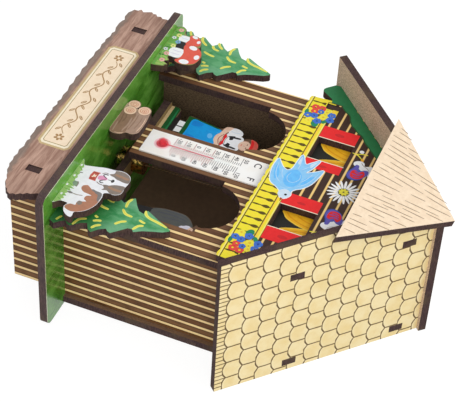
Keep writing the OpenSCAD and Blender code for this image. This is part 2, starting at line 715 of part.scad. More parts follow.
lawn();
wall_left();
wall_right();
front_wall();
rear_wall();
facade();
sign_board();
roof_left();
roof_right();
hip_panel();
thermometer_strip();
thermometer_tube();
thermometer_spirit();
dog();
log_pile();
mushrooms();
tree_left();
tree_right();
gut_bridge();
guide_pin();
beam();
woman();
man();
balance_weight();
gut_clamp();
clamp_screw();
gut_string();
adjusting_peg();
peg_washer();
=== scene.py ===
"""Looks of a laser-cut wooden weather house with a thermometer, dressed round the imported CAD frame."""

import logging
from dataclasses import dataclass, field
from enum import Enum
from functools import cache

import bpy
import numpy as np
from mathutils import Matrix
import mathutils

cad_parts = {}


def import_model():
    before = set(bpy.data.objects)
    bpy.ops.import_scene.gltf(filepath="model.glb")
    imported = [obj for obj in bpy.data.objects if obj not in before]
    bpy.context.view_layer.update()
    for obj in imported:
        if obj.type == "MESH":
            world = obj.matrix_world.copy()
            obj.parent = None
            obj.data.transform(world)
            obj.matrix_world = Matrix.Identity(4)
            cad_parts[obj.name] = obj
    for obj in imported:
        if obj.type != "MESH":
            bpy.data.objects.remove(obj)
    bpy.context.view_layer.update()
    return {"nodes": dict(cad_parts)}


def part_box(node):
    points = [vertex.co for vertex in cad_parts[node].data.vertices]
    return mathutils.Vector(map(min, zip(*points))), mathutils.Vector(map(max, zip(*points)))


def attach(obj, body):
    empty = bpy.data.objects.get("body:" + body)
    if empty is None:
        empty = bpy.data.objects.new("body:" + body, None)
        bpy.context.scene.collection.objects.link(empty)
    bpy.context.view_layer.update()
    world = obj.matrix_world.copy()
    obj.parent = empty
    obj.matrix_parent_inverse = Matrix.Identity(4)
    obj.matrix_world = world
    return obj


LOG = logging.getLogger("weather_house")
MM = 0.001
# The house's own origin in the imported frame, in mm: its middle, the front wall's face, the lawn's top.
SHIFT = np.array([0.9, -18.1, 22.4])

Colour = tuple[float, float, float]
Vector = tuple[float, float, float]
Socket = bpy.types.NodeSocket
Node = bpy.types.Node
Tree = bpy.types.NodeTree
Material = bpy.types.Material

RIGHTWARD: Vector = (1.0, 0.0, 0.0)
UPWARD: Vector = (0.0, 0.0, 1.0)
BARE_BOARD: Colour = (176, 150, 124)
BURNT_EDGE: Colour = (84, 62, 60)
# The walls' inner faces are the bare board darkened as painted shade inside the house; the roofs' undersides
# are the same board lightened as painted light.
SHADED_INSIDE_BACK: Colour = (58, 42, 29)
LIT_ROOF_BACK: Colour = (252, 226, 200)

# The thickness of raised ink, in millimetres, and a length too small to see that keeps divisions safe.
INK_THICK = 0.02
TINY = 1e-9


class Side(Enum):
    """Which way the printed side of a board looks, as a direction in the house's frame."""

    FRONT = (0.0, -1.0, 0.0)
    TOP = (0.0, 0.0, 1.0)
    LEFT = (-1.0, 0.0, 0.0)
    RIGHT = (1.0, 0.0, 0.0)
    ROOF_LEFT = (-0.6858, 0.0, 0.7278)
    ROOF_RIGHT = (0.6858, 0.0, 0.7278)
    HIP = (0.0, -0.9677, 0.2521)


def to_row(points: np.ndarray) -> np.ndarray:
    """Turn millimetres of the house's frame into metres of the row's frame.

    Args:
        points: Positions, one per line: X right, Y back from the front wall, Z up from the lawn.

    Returns:
        The same positions in metres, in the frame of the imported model.
    """
    return (np.asarray(points, float) + SHIFT) * MM


def front_face(node: str) -> float:
    """Give the depth of a CAD node's foremost face, in millimetres of the house's frame."""
    return float(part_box(node)[0][1]) / MM - SHIFT[1]


def paint(colour: Colour) -> tuple[float, float, float, float]:
    """Turn a display colour of 0 to 255 into the linear colour that a shader socket takes.

    Args:
        colour: Red, green and blue, 0 to 255.

    Returns:
        Linear red, green, blue and an alpha of one.
    """
    c = np.asarray(colour, float) / 255
    linear = np.where(c <= 0.04045, c / 12.92, ((c + 0.055) / 1.055) ** 2.4)
    return (*map(float, linear), 1.0)


def darker(colour: Colour, share: float) -> Colour:
    """Give a display colour with each of its parts multiplied by a share."""
    return tuple(share * c for c in colour)


class Graph:
    """Short calls that place shader nodes in one tree and join them."""

    def __init__(self, tree: Tree) -> None:
        """Keep the tree that the nodes go into."""
        self.tree = tree

    def feed(self, socket: Socket, value: object) -> None:
        """Join a socket to another one, or set it to a plain value.

        Args:
            socket: The input.
            value: An output socket, a number, a vector or a display colour; None leaves it alone.
        """
        if isinstance(value, bpy.types.NodeSocket):
            self.tree.links.new(value, socket)
        elif value is not None:
            is_colour = socket.type == "RGBA"
            socket.default_value = paint(value) if is_colour and len(value) == 3 else value

    def node(self, kind: str, settings: dict[str, object] | None = None, **inputs: object) -> Node:
        """Place a node.

        Args:
            kind: The node type without its ShaderNode prefix.
            settings: Its own properties.
            **inputs: Its input sockets by name, with _ for a blank.

        Returns:
            The node.
        """
        made = self.tree.nodes.new("ShaderNode" + kind)
        for key, value in (settings or {}).items():
            setattr(made, key, value)
        for key, value in inputs.items():
            self.feed(made.inputs[key.replace("_", " ")], value)
        return made

    def calc(self, operation: str, *values: object, clamp: bool = False) -> Socket:
        """Work out one number with a Math node.

        Args:
            operation: The node's operation.
            *values: One to three numbers or sockets.
            clamp: Whether the result is held between 0 and 1.

        Returns:
            The result.
        """
        made = self.node("Math", {"operation": operation, "use_clamp": clamp})
        for socket, value in zip(made.inputs, values):
            self.feed(socket, value)
        return made.outputs[0]

    def mix(self, share: object, under: object, over: object, mode: str = "MIX") -> Socket:
        """Mix two colours.

        Args:
            share: 0 gives the first colour alone, 1 the second.
            under: The first colour.
            over: The second colour.
            mode: The way in which the second is laid on the first.

        Returns:
            The mixed colour.
        """
        made = self.node("Mix", {"data_type": "RGBA", "blend_type": mode})
        for spot, value in ((0, share), (6, under), (7, over)):
            self.feed(made.inputs[spot], value)
        return made.outputs[2]

    def veil(self, mask: Socket, strength: float, under: object, over: object) -> Socket:
        """Lay a second colour on a first one where a mask says, at a part of its strength."""
        return self.mix(self.calc("MULTIPLY", mask, strength), under, over)

    def between(self, share: object, low: object, high: object) -> Socket:
        """Mix two numbers.

        Args:
            share: 0 gives the first number, 1 the second.
            low: The first number.
            high: The second number.

        Returns:
            The number between them.
        """
        made = self.node("Mix", {"data_type": "FLOAT"})
        for spot, value in ((0, share), (2, low), (3, high)):
            self.feed(made.inputs[spot], value)
        return made.outputs[0]

    def ease(self, value: object, low: float, high: float) -> Socket:
        """Rise smoothly from 0 at low to 1 at high.

        Args:
            value: The number.
            low: Where the result is 0.
            high: Where the result is 1; if it is below low, the result falls as the value rises.

        Returns:
            The result, 0 to 1.
        """
        up = high >= low
        made = self.node("MapRange", {"interpolation_type": "SMOOTHSTEP"}, Value=value,
                         From_Min=min(low, high), From_Max=max(low, high),
                         To_Min=0.0 if up else 1.0, To_Max=1.0 if up else 0.0)
        return made.outputs[0]

    def stretch(self, vector: Socket, scale: Vector) -> Socket:
        """Multiply a vector by a scale for each axis.

        Args:
            vector: The vector.
            scale: The three factors.

        Returns:
            The scaled vector.
        """
        made = self.node("VectorMath", {"operation": "MULTIPLY"})
        self.feed(made.inputs[0], vector)
        self.feed(made.inputs[1], scale)
        return made.outputs[0]

    def noise(self, vector: Socket, scale: float, detail: float = 2.0, rough: float = 0.55,
              bend: float = 0.0) -> Socket:
        """Give cloudy noise between 0 and 1."""
        return self.node("TexNoise", None, Vector=vector, Scale=scale, Detail=detail, Roughness=rough,
                         Distortion=bend).outputs[0]

    def house(self) -> tuple[Socket, list[Socket]]:
        """Give the place on the object in millimetres of the house's frame.

        Returns:
            The place as a vector, and its X, Y and Z.
        """
        place = self.node("Mapping", None, Vector=self.node("TexCoord").outputs["Object"],
                          Scale=(1 / MM,) * 3, Location=tuple(-SHIFT)).outputs[0]
        return place, list(self.node("SeparateXYZ", None, Vector=place).outputs)

    def facing(self, way: Vector) -> Socket:
        """Give how far the surface looks one way, by the object's own normal.

        Args:
            way: The direction, of length one.

        Returns:
            A number from -1 to 1.
        """
        made = self.node("VectorMath", {"operation": "DOT_PRODUCT"})
        self.feed(made.inputs[0], self.node("TexCoord").outputs["Normal"])
        self.feed(made.inputs[1], way)
        return made.outputs["Value"]

    def use(self, group: Tree, **inputs: object) -> Node:
        """Place a node group.

        Args:
            group: The group.
            **inputs: Its inputs by name.

        Returns:
            The group's node.
        """
        made = self.tree.nodes.new("ShaderNodeGroup")
        made.node_tree = group
        for key, value in inputs.items():
            self.feed(made.inputs[key], value)
        return made

    def bump(self, shader: Node, height: Socket, strength: float, distance: float) -> None:
        """Raise the shader's surface by a height, with the bump's strength and its depth in metres."""
        self.feed(shader.inputs["Normal"], self.node("Bump", None, Strength=strength, Distance=distance,
                                                     Height=height).outputs[0])


class Effects:
    """Node groups for the effects that several finishes share, each built once."""

    @staticmethod
    def start(name: str, inputs: dict[str, object],
              outputs: dict[str, str]) -> tuple[Graph, dict[str, Socket], dict[str, Socket]]:
        """Open an empty group with named sockets.

        Args:
            name: The group's name.
            inputs: Input names with their first values: a display colour, a number or the word vector.
            outputs: Output names with their kinds, Color or Float.

        Returns:
            The graph, its input sockets by name and its output sockets by name.
        """
        tree = bpy.data.node_groups.new(name, "ShaderNodeTree")
        for key, value in inputs.items():
            kind = "Vector" if value == "vector" else "Color" if isinstance(value, tuple) else "Float"
            socket = tree.interface.new_socket(key, in_out="INPUT", socket_type="NodeSocket" + kind)
            if kind == "Color":
                socket.default_value = paint(value)
            elif kind == "Float":
                socket.default_value = value
        for key, kind in outputs.items():
            tree.interface.new_socket(key, in_out="OUTPUT", socket_type="NodeSocket" + kind)
        first, last = tree.nodes.new("NodeGroupInput"), tree.nodes.new("NodeGroupOutput")
        return Graph(tree), {k: first.outputs[k] for k in inputs}, {k: last.inputs[k] for k in outputs}

    @staticmethod
    @cache
    def raw_board() -> Tree:
        """Bare pressed-fibre board: pale brown, with short fibres, darker flecks and the laser's faint smoke.

        Returns:
            The group, from Place and Tone to Color and Height.
        """
        g, i, o = Effects.start("raw_board", {"Place": "vector", "Tone": BARE_BOARD},
                                {"Color": "Color", "Height": "Float"})
        fibre = g.noise(g.stretch(i["Place"], (1.0, 1.0, 0.35)), 3.2, 3.0, 0.7)
        fleck = g.ease(g.noise(i["Place"], 1.7, 2.0, 0.6), 0.62, 0.74)
        smoke = g.ease(g.noise(i["Place"], 0.05, 2.0), 0.5, 0.75)
        colour = g.mix(g.ease(fibre, 0.3, 0.72), (150, 124, 98), i["Tone"])
        colour = g.veil(fleck, 0.45, colour, (112, 88, 66))
        g.feed(o["Color"], g.veil(smoke, 0.35, colour, (140, 112, 86)))
        g.feed(o["Height"], fibre)
        return g.tree

    @staticmethod
    @cache
    def burnt_edge() -> Tree:
        """Laser-cut edge: dark brown char, banded along the cut, with lighter streaks and ash.

        Returns:
            The group, from Place and Tone to Color and Height.
        """
        g, i, o = Effects.start("burnt_edge", {"Place": "vector", "Tone": BURNT_EDGE},
                                {"Color": "Color", "Height": "Float"})
        streak = g.noise(g.stretch(i["Place"], (1.0, 0.18, 1.0)), 2.6, 3.0, 0.65)
        ash = g.ease(g.noise(i["Place"], 0.12, 2.0, 0.6), 0.45, 0.7)
        colour = g.mix(g.ease(streak, 0.34, 0.7), (52, 37, 37), i["Tone"])
        g.feed(o["Color"], g.veil(ash, 0.5, colour, (92, 76, 56)))
        g.feed(o["Height"], streak)
        return g.tree

    @staticmethod
    @cache
    def stripes() -> Tree:
        """Even stripes: 1 where Place lies within half of Width of Start plus a whole number of Pitch.

        Returns:
            The group. Mask is 1 on a stripe, and Away is the distance to the nearest stripe's middle.
        """
        sizes = {"Place": 0.0, "Pitch": 4.0, "Start": 0.0, "Width": 1.0, "Soft": 0.12}
        g, i, o = Effects.start("stripes", sizes, {"Mask": "Float", "Away": "Float"})
        half = g.calc("MULTIPLY", i["Pitch"], 0.5)
        away = g.calc("PINGPONG", g.calc("SUBTRACT", i["Place"], i["Start"]), half)
        edge = g.calc("SUBTRACT", g.calc("MULTIPLY", i["Width"], 0.5), away)
        g.feed(o["Mask"], g.calc("ADD", g.calc("DIVIDE", edge, i["Soft"]), 0.5, clamp=True))
        g.feed(o["Away"], away)
        return g.tree

    @staticmethod
    @cache
    def print_wear() -> Tree:
        """Ink on fibre board: mottled light and dark, with small pale specks where the fibres shed the ink.

        Returns:
            The group, from Color, Place and Amount to Color and Height.
        """
        g, i, o = Effects.start("print_wear", {"Color": (200, 200, 200), "Place": "vector", "Amount": 1.0},
                                {"Color": "Color", "Height": "Float"})
        cloud = g.noise(i["Place"], 0.55, 4.0, 0.65)
        fine = g.noise(i["Place"], 4.5, 2.0, 0.6)
        dark = g.mix(g.calc("MULTIPLY", i["Amount"], 0.1), i["Color"], (70, 60, 50), "MULTIPLY")
        light = g.mix(g.calc("MULTIPLY", i["Amount"], 0.2), i["Color"], (255, 250, 240), "OVERLAY")
        colour = g.mix(g.ease(cloud, 0.3, 0.7), dark, light)
        speck = g.calc("MULTIPLY", g.ease(fine, 0.64, 0.76), g.calc("MULTIPLY", i["Amount"], 0.2))
        g.feed(o["Color"], g.mix(speck, colour, (255, 255, 250), "OVERLAY"))
        g.feed(o["Height"], fine)
        return g.tree


def principled(name: str, colour: object = None, **values: object) -> tuple[Graph, Node, Material]:
    """Start a material with one Principled shader.

    Args:
        name: The material's name.
        colour: A display colour for the base, or None.
        **values: Other sockets by name, with _ for a blank.

    Returns:
        The graph, the shader and the material.
    """
    made = bpy.data.materials.new(name)
    made.use_nodes = True
    g = Graph(made.node_tree)
    shader = made.node_tree.nodes["Principled BSDF"]
    g.feed(shader.inputs["Base Color"], colour)
    for key, value in values.items():
        g.feed(shader.inputs[key.replace("_", " ")], value)
    return g, shader, made


@dataclass(frozen=True)
class BoardFinish:
    """A laser-cut board: a printed face, a bare back and burnt cut edges."""

    name: str
    side: Side
    face: Colour = (250, 236, 208)
    edge: Colour = BURNT_EDGE
    back: Colour = BARE_BOARD
    gloss: float = 0.55
    shine: float = 0.22
    back_printed: bool = False

    def front(self, g: Graph, place: Socket, xyz: list[Socket]) -> Socket:
        """Give the printed face's colour; a plain board has one tone with print wear."""
        return g.use(Effects.print_wear(), Color=self.face, Place=place, Amount=0.7).outputs["Color"]

    def sheen(self, g: Graph, place: Socket) -> Socket:
        """Give the face's roughness, which wanders a little with the fibres."""
        return g.calc("MULTIPLY_ADD", g.noise(place, 0.9, 3.0), 0.22, self.gloss - 0.11)

    def make(self) -> Material:
        """Build the material.

        Returns:
            A material that tells face, back and edge apart by the direction they look.
        """
        g, shader, made = principled(self.name, Specular_IOR_Level=self.shine)
        place, xyz = g.house()
        toward = g.facing(self.side.value)
        face = g.ease(toward, 0.6, 0.8)
        back = g.ease(g.calc("MULTIPLY", toward, -1.0), 0.6, 0.8)
        bare = g.use(Effects.raw_board(), Place=place, Tone=self.back)
        burnt = g.use(Effects.burnt_edge(), Place=place, Tone=self.edge)
        printed = self.front(g, place, xyz)
        if self.back_printed:
            face = g.calc("ADD", face, back, clamp=True)
            back = 0.0
        unprinted = g.mix(back, burnt.outputs["Color"], bare.outputs["Color"])
        g.feed(shader.inputs["Base Color"], g.mix(face, unprinted, printed))
        g.feed(shader.inputs["Roughness"], g.between(face, 0.8, self.sheen(g, place)))
        height = g.calc("MULTIPLY_ADD", burnt.outputs["Height"], 0.6, bare.outputs["Height"])
        g.bump(shader, height, 0.22, 0.00012)
        return made


@dataclass(frozen=True)
class ShingleFinish(BoardFinish):
    """Roof board with engraved round shingles in offset rows above a hatched eave."""

    eave_x: float = 66.7
    eave_z: float = 71.85
    cos_pitch: float = 0.7278
    sin_pitch: float = 0.6858
    row: float = 6.9
    width: float = 8.6
    first: float = 2.94
    joint: float = -13.75
    sag: float = 1.6
    line: float = 0.62
    hatch_pitch: float = 2.14
    hatch_start: float = -13.4
    light: Colour = (250, 231, 180)
    warm: Colour = (243, 218, 156)
    fleck: Colour = (226, 196, 140)
    glow: Colour = (255, 243, 205)
    soot: Colour = (78, 58, 28)
    scorch: Colour = (118, 92, 50)

    def slope(self, g: Graph, place: Socket, xyz: list[Socket]) -> tuple[Socket, Socket]:
        """Measure the roof board, with a slow wobble as of lines drawn by hand.

        The distance up the slope is (eave_x - |X|) * cos_pitch + (Z - eave_z) * sin_pitch.

        Args:
            g: The material's graph.
            place: The place in the house's frame.
            xyz: The same, as three numbers.

        Returns:
            The distance up the slope from the eave, and the distance along the ridge.
        """
        inward = g.calc("SUBTRACT", self.eave_x, g.calc("ABSOLUTE", xyz[0]))
        level = g.calc("MULTIPLY", inward, self.cos_pitch)
        rise = g.calc("MULTIPLY", g.calc("SUBTRACT", xyz[2], self.eave_z), self.sin_pitch)
        wobble = g.calc("MULTIPLY", g.calc("SUBTRACT", g.noise(place, 0.35, 2.0), 0.5), 0.55)
        up = g.calc("ADD", g.calc("ADD", level, rise), wobble)
        return up, g.calc("MULTIPLY_ADD", wobble, 0.8, xyz[1])

    def front(self, g: Graph, place: Socket, xyz: list[Socket]) -> Socket:
        """Give the shingles' colour.

        Row k starts at first + row * k up the slope. Within a row, each shingle's lower edge rises from its
        middle to its corners as sag * (distance / half width) squared, and joints run up from the corners.
        Odd rows are shifted by half a shingle. Below the first row the eave is hatched.

        Args:
            g: The material's graph.
            place: The place in the house's frame.
            xyz: The same, as three numbers.

        Returns:
            The colour.
        """
        up, along = self.slope(g, place, xyz)
        rows = g.calc("DIVIDE", g.calc("SUBTRACT", up, self.first), self.row)
        k = g.calc("FLOOR", rows)
        in_row = g.calc("MULTIPLY", g.calc("SUBTRACT", rows, k), self.row)
        half = self.width / 2
        start = g.calc("MULTIPLY_ADD", g.calc("FLOORED_MODULO", k, 2.0), half, self.joint)
        joint = g.calc("PINGPONG", g.calc("SUBTRACT", along, start), half)
        off = g.calc("DIVIDE", g.calc("SUBTRACT", half, joint), half)
        arc = g.calc("MULTIPLY", g.calc("MULTIPLY", off, off), self.sag)
        above = g.calc("SUBTRACT", in_row, arc)
        arc_line = g.ease(g.calc("ABSOLUTE", above), self.line * 0.75, self.line * 0.38)
        joint_line = g.ease(joint, self.line * 0.7, self.line * 0.3)
        joint_line = g.calc("MULTIPLY", joint_line, g.ease(above, -0.1, 0.1))
        shingled = g.calc("MULTIPLY", g.calc("MAXIMUM", arc_line, joint_line), g.ease(k, -0.6, -0.4))
        below = g.calc("LESS_THAN", g.calc("SUBTRACT", up, self.first), arc)
        eave = g.calc("MULTIPLY", below, g.calc("LESS_THAN", k, 0.5))
        hatch = g.use(Effects.stripes(), Place=along, Pitch=self.hatch_pitch, Start=self.hatch_start,
                      Width=0.5, Soft=0.25).outputs["Mask"]
        lines = g.calc("MAXIMUM", shingled, g.calc("MULTIPLY", hatch, eave))
        ground = g.mix(g.ease(g.noise(place, 0.16, 3.0, 0.6), 0.3, 0.7), self.light, self.warm)
        ground = g.veil(g.ease(g.noise(place, 2.4, 3.0), 0.5, 0.8), 0.25, ground, self.fleck)
        ground = g.veil(g.ease(g.calc("ABSOLUTE", above), 1.5, 0.3), 0.3, ground, self.glow)
        return g.mix(lines, ground, g.mix(g.noise(place, 1.4, 2.0), self.soot, self.scorch))


@dataclass(frozen=True)
class PlankFinish(BoardFinish):
    """Wall board printed as upright planks with pale joint strips between them."""

    axis: int = 1
    pitch: float = 4.07
    start: float = 4.13
    strip: float = 1.15
    last: float = 45.6
    pale: Colour = (250, 220, 158)
    pale_low: Colour = (238, 205, 150)
    middle: Colour = (114, 72, 36)
    dusty: Colour = (150, 112, 74)
    rim: Colour = (66, 38, 6)

    def front(self, g: Graph, place: Socket, xyz: list[Socket]) -> Socket:
        """Give the planks: a middle tone that darkens to the rim beside each pale strip, with upright grain.

        Plank number k, the whole part of (distance - start) / pitch, takes its own tone from noise at k.

        Args:
            g: The material's graph.
            place: The place in the house's frame.
            xyz: The same, as three numbers.

        Returns:
            The colour.
        """
        run = xyz[self.axis]
        band = g.use(Effects.stripes(), Place=run, Pitch=self.pitch, Start=self.start, Width=self.strip,
                     Soft=0.22)
        grain = g.noise(g.stretch(place, (1.0, 1.0, 0.1)), 1.5, 4.0, 0.65)
        patch = g.noise(g.stretch(place, (1.0, 1.0, 0.4)), 0.22, 3.0, 0.6)
        rim = g.ease(band.outputs["Away"], self.strip / 2 + 0.85, self.strip / 2 + 0.15)
        plank = g.calc("FLOOR", g.calc("DIVIDE", g.calc("SUBTRACT", run, self.start), self.pitch))
        tone = g.noise(g.node("CombineXYZ", None, X=g.calc("MULTIPLY", plank, 7.31)).outputs[0], 1.0, 0.0)
        wood = g.mix(g.ease(grain, 0.3, 0.7), self.middle, darker(self.middle, 0.78))
        wood = g.veil(g.ease(tone, 0.3, 0.7), 0.35, wood, self.dusty)
        wood = g.veil(rim, 0.85, wood, self.rim)
        wood = g.veil(g.ease(patch, 0.5, 0.68), 0.55, wood, self.rim)
        strip = g.mix(g.ease(patch, 0.35, 0.7), self.pale, self.pale_low)
        striped = g.calc("MULTIPLY", band.outputs["Mask"], g.ease(run, self.last + 0.1, self.last - 0.1))
        return g.mix(striped, wood, strip)


@dataclass(frozen=True)
class GablePlanks(BoardFinish):
    """Gable board printed with dark level planks above a yellow balcony, and green beyond its ends."""

    floor: float = 74.7
    pitch: float = 3.82
    start: float = 76.5
    end: float = 51.05
    green: Colour = (40, 122, 74)

    def front(self, g: Graph, place: Socket, xyz: list[Socket]) -> Socket:
        """Give level yellow strips on dark wood above the floor line, and mottled yellow below it.

        Args:
            g: The material's graph.
            place: The place in the house's frame.
            xyz: The same, as three numbers.

        Returns:
            The colour.
        """
        band = g.use(Effects.stripes(), Place=xyz[2], Pitch=self.pitch, Start=self.start, Width=0.85,
                     Soft=0.25)
        grain = g.noise(g.stretch(place, (0.12, 1.0, 1.0)), 1.6, 3.0, 0.6)
        dark = g.mix(grain, (34, 20, 16), (74, 48, 38))
        strip = g.mix(g.noise(place, 0.25, 2.0), (252, 217, 142), (240, 200, 120))
        upper = g.mix(band.outputs["Mask"], dark, strip)
        yellow = g.mix(g.ease(g.noise(place, 0.35, 3.0), 0.35, 0.65), (240, 228, 52), (246, 224, 62))
        printed = g.mix(g.ease(xyz[2], self.floor - 0.1, self.floor + 0.1), yellow, upper)
        beyond = g.ease(g.calc("ABSOLUTE", xyz[0]), self.end - 0.05, self.end + 0.05)
        return g.mix(beyond, printed, self.green)


@dataclass(frozen=True)
class TurfFinish(BoardFinish):
    """Varnished green base board, streaked like grass, with painted light toward its front edge and painted
    shade near the house.
    """

    rim_x: float = 63.9
    rim_y: float = -15.5

    def front(self, g: Graph, place: Socket, xyz: list[Socket]) -> Socket:
        """Give two greens mixed by long streaks, with painted light in front and painted shade near the
        house, with a pale unprinted rim.

        Args:
            g: The material's graph.
            place: The place in the house's frame.
            xyz: The same, as three numbers.

        Returns:
            The colour.
        """
        streak = g.noise(g.stretch(place, (0.5, 1.0, 1.0)), 0.16, 4.0, 0.6, 0.6)
        fine = g.noise(place, 1.3, 3.0, 0.6)
        colour = g.mix(g.ease(streak, 0.35, 0.68), (62, 124, 28), (104, 166, 64))
        # Painted light toward the front edge; the strip next to the front wall stays darker as painted shade.
        colour = g.veil(g.ease(xyz[1], -6.0, -16.0), 0.45, colour, (120, 178, 78))
        colour = g.veil(g.ease(fine, 0.45, 0.75), 0.3, colour, (36, 92, 18))
        sides = g.ease(g.calc("ABSOLUTE", xyz[0]), self.rim_x, self.rim_x + 0.1)
        rim = g.calc("MAXIMUM", sides, g.ease(xyz[1], self.rim_y, self.rim_y - 0.1))
        return g.mix(rim, colour, (214, 222, 184))


@dataclass(frozen=True)
class SignWood(BoardFinish):
    """Sign board of pinkish veneer with wavy grain along its length and scorched ends."""

    def front(self, g: Graph, place: Socket, xyz: list[Socket]) -> Socket:
        """Give bands of grain bent by slow noise, darker toward the ends and the torn lower edge.

        Args:
            g: The material's graph.
            place: The place in the house's frame.
            xyz: The same, as three numbers.

        Returns:
            The colour.
        """
        wave = g.noise(g.stretch(place, (0.05, 1.0, 0.45)), 1.0, 4.0, 0.62, 1.2)
        fine = g.noise(g.stretch(place, (0.1, 1.0, 1.0)), 3.0, 2.0)
        colour = g.mix(g.ease(wave, 0.35, 0.66), (198, 162, 144), (152, 116, 100))
        colour = g.veil(g.ease(fine, 0.45, 0.75), 0.35, colour, (120, 90, 78))
        colour = g.veil(g.ease(g.calc("ABSOLUTE", xyz[0]), 46.0, 60.0), 0.3, colour, (132, 102, 88))
        torn = g.ease(g.calc("MULTIPLY_ADD", g.noise(place, 0.35, 3.0), 3.0, xyz[2]), -17.4, -19.4)
        return g.veil(torn, 0.75, colour, (122, 112, 104))


@dataclass(frozen=True)
class FirFinish(BoardFinish):
    """Cut-out fir printed in mottled greens, darker toward its trunk and paler at its tips."""

    trunk: float = 0.0
    top: float = 43.5
    painted_foot_shade: float = 0.2

    def front(self, g: Graph, place: Socket, xyz: list[Socket]) -> Socket:
        """Give brush-like greens, paler where |X - trunk| nears 0.3 of the drop from the top, and painted
        shade below.

        Args:
            g: The material's graph.
            place: The place in the house's frame.
            xyz: The same, as three numbers.

        Returns:
            The colour.
        """
        brushed = g.noise(g.stretch(place, (1.0, 1.0, 0.5)), 0.42, 4.0, 0.65, 0.5)
        colour = g.mix(g.ease(brushed, 0.34, 0.66), (60, 142, 86), (104, 172, 120))
        away = g.calc("ABSOLUTE", g.calc("SUBTRACT", xyz[0], self.trunk))
        share = g.calc("DIVIDE", away, g.calc("MULTIPLY", g.calc("SUBTRACT", self.top + 4, xyz[2]), 0.3))
        colour = g.veil(g.ease(share, 0.45, 0.95), 0.6, colour, (118, 176, 138))
        # Painted shade: the colour darkens toward the fir's foot, below Z 24.
        return g.veil(g.ease(xyz[2], 24.0, 14.0), self.painted_foot_shade, colour, (16, 98, 22))


@dataclass(frozen=True)
class MetalFinish:
    """Drawn or turned metal with fine lathe lines, and dark patches that are partly tarnished metal and
    partly a painted reflection.
    """

    name: str
    colour: Colour
    rough: float = 0.3
    tarnish_and_reflection: float = 0.8

    def make(self) -> Material:
        """Build the material: noise along the turning lines moves the roughness and a shallow bump.

        Returns:
            The material.
        """
        g, shader, made = principled(self.name, None, Metallic=1.0)
        place, _ = g.house()
        lines = g.noise(g.stretch(place, (1.0, 6.0, 6.0)), 1.8, 3.0, 0.6)
        # Noise lays darker patches on the colour: partly tarnished metal, partly a painted reflection of a
        # dark room.
        dull_and_reflection = g.ease(g.noise(place, 0.9, 3.0), 0.45, 0.6)
        g.feed(shader.inputs["Base Color"], g.mix(dull_and_reflection, self.colour, darker(self.colour, self.tarnish_and_reflection)))
        g.feed(shader.inputs["Roughness"], g.calc("MULTIPLY_ADD", lines, 0.22, self.rough - 0.11))
        g.bump(shader, lines, 0.15, 0.00005)
        return made


@dataclass(frozen=True)
class CardFinish:
    """White lacquered scale strip with faint yellowing and a satin face."""

    name: str
    colour: Colour = (247, 246, 244)
    yellowed: Colour = (240, 234, 224)

    def make(self) -> Material:
        """Build the material: slow clouds warm the white, and a fine bump keeps its satin look.

        Returns:
            The material.
        """
        g, shader, made = principled(self.name)
        place, _ = g.house()
        cloud = g.ease(g.noise(place, 0.12, 3.0), 0.35, 0.8)
        fine = g.noise(place, 3.0, 3.0)
        g.feed(shader.inputs["Base Color"], g.mix(cloud, self.colour, self.yellowed))
        g.feed(shader.inputs["Roughness"], g.calc("MULTIPLY_ADD", fine, 0.15, 0.35))
        g.bump(shader, fine, 0.1, 0.00005)
        return made


@dataclass(frozen=True)
class LiquidFinish:
    """Dyed spirit inside the glass: clear red, deeper where it is thick."""

    name: str
    colour: Colour = (228, 24, 44)
    lit: Colour = (238, 52, 66)
    thin: Colour = (204, 112, 122)
    neck_z: float = 22.5

    def make(self) -> Material:
        """Build the material: a wet red, paler where the column is thin above the bulb's neck.

        Returns:
            The material.
        """
        g, shader, made = principled(self.name, None, IOR=1.36)
        place, xyz = g.house()
        cloud = g.noise(place, 0.6, 2.0)
        neck = g.ease(xyz[2], self.neck_z - 1.0, self.neck_z + 1.0)
        g.feed(shader.inputs["Base Color"], g.mix(neck, g.mix(cloud, self.colour, self.lit), self.thin))
        g.feed(shader.inputs["Roughness"], g.calc("MULTIPLY_ADD", cloud, 0.08, 0.08))
        return made


@dataclass(frozen=True)
class GlassFinish:
    """Clear thin glass with faint draw lines along the tube; its walls barely bend the light."""

    name: str

    def make(self) -> Material:
        """Build the material: full transmission, with a bump of long weak waves.

        Returns:
            The material.
        """
        g, shader, made = principled(self.name, (250, 252, 252), Transmission_Weight=1.0, IOR=1.03)
        place, _ = g.house()
        wave = g.noise(g.stretch(place, (1.0, 1.0, 0.08)), 1.2, 2.0)
        g.feed(shader.inputs["Roughness"], g.calc("MULTIPLY", wave, 0.06))
        g.bump(shader, wave, 0.08, 0.00004)
        return made


@dataclass(frozen=True)
class GutFinish:
    """Twisted gut: amber, slightly waxy, with a fine spiral round its own axis."""

    name: str
    colour: Colour = (150, 108, 62)
    axis_y: float = 13.5

    def make(self) -> Material:
        """Build the material: sin(2 * angle + 4.2 * Z) round the string shades it and lifts its ridges.

        Returns:
            The material.
        """
        g, shader, made = principled(self.name, None, Subsurface_Weight=0.15, Subsurface_Scale=0.0004)
        place, xyz = g.house()
        turn = g.calc("ARCTAN2", g.calc("SUBTRACT", xyz[1], self.axis_y), xyz[0])
        wave = g.calc("SINE", g.calc("ADD", g.calc("MULTIPLY", turn, 2.0), g.calc("MULTIPLY", xyz[2], 4.2)))
        lift = g.calc("MULTIPLY_ADD", wave, 0.5, 0.5)
        g.feed(shader.inputs["Base Color"], g.mix(lift, darker(self.colour, 0.6), self.colour))
        g.feed(shader.inputs["Roughness"], g.calc("MULTIPLY_ADD", g.noise(place, 2.0), 0.2, 0.35))
        g.bump(shader, lift, 0.4, 0.0002)
        return made


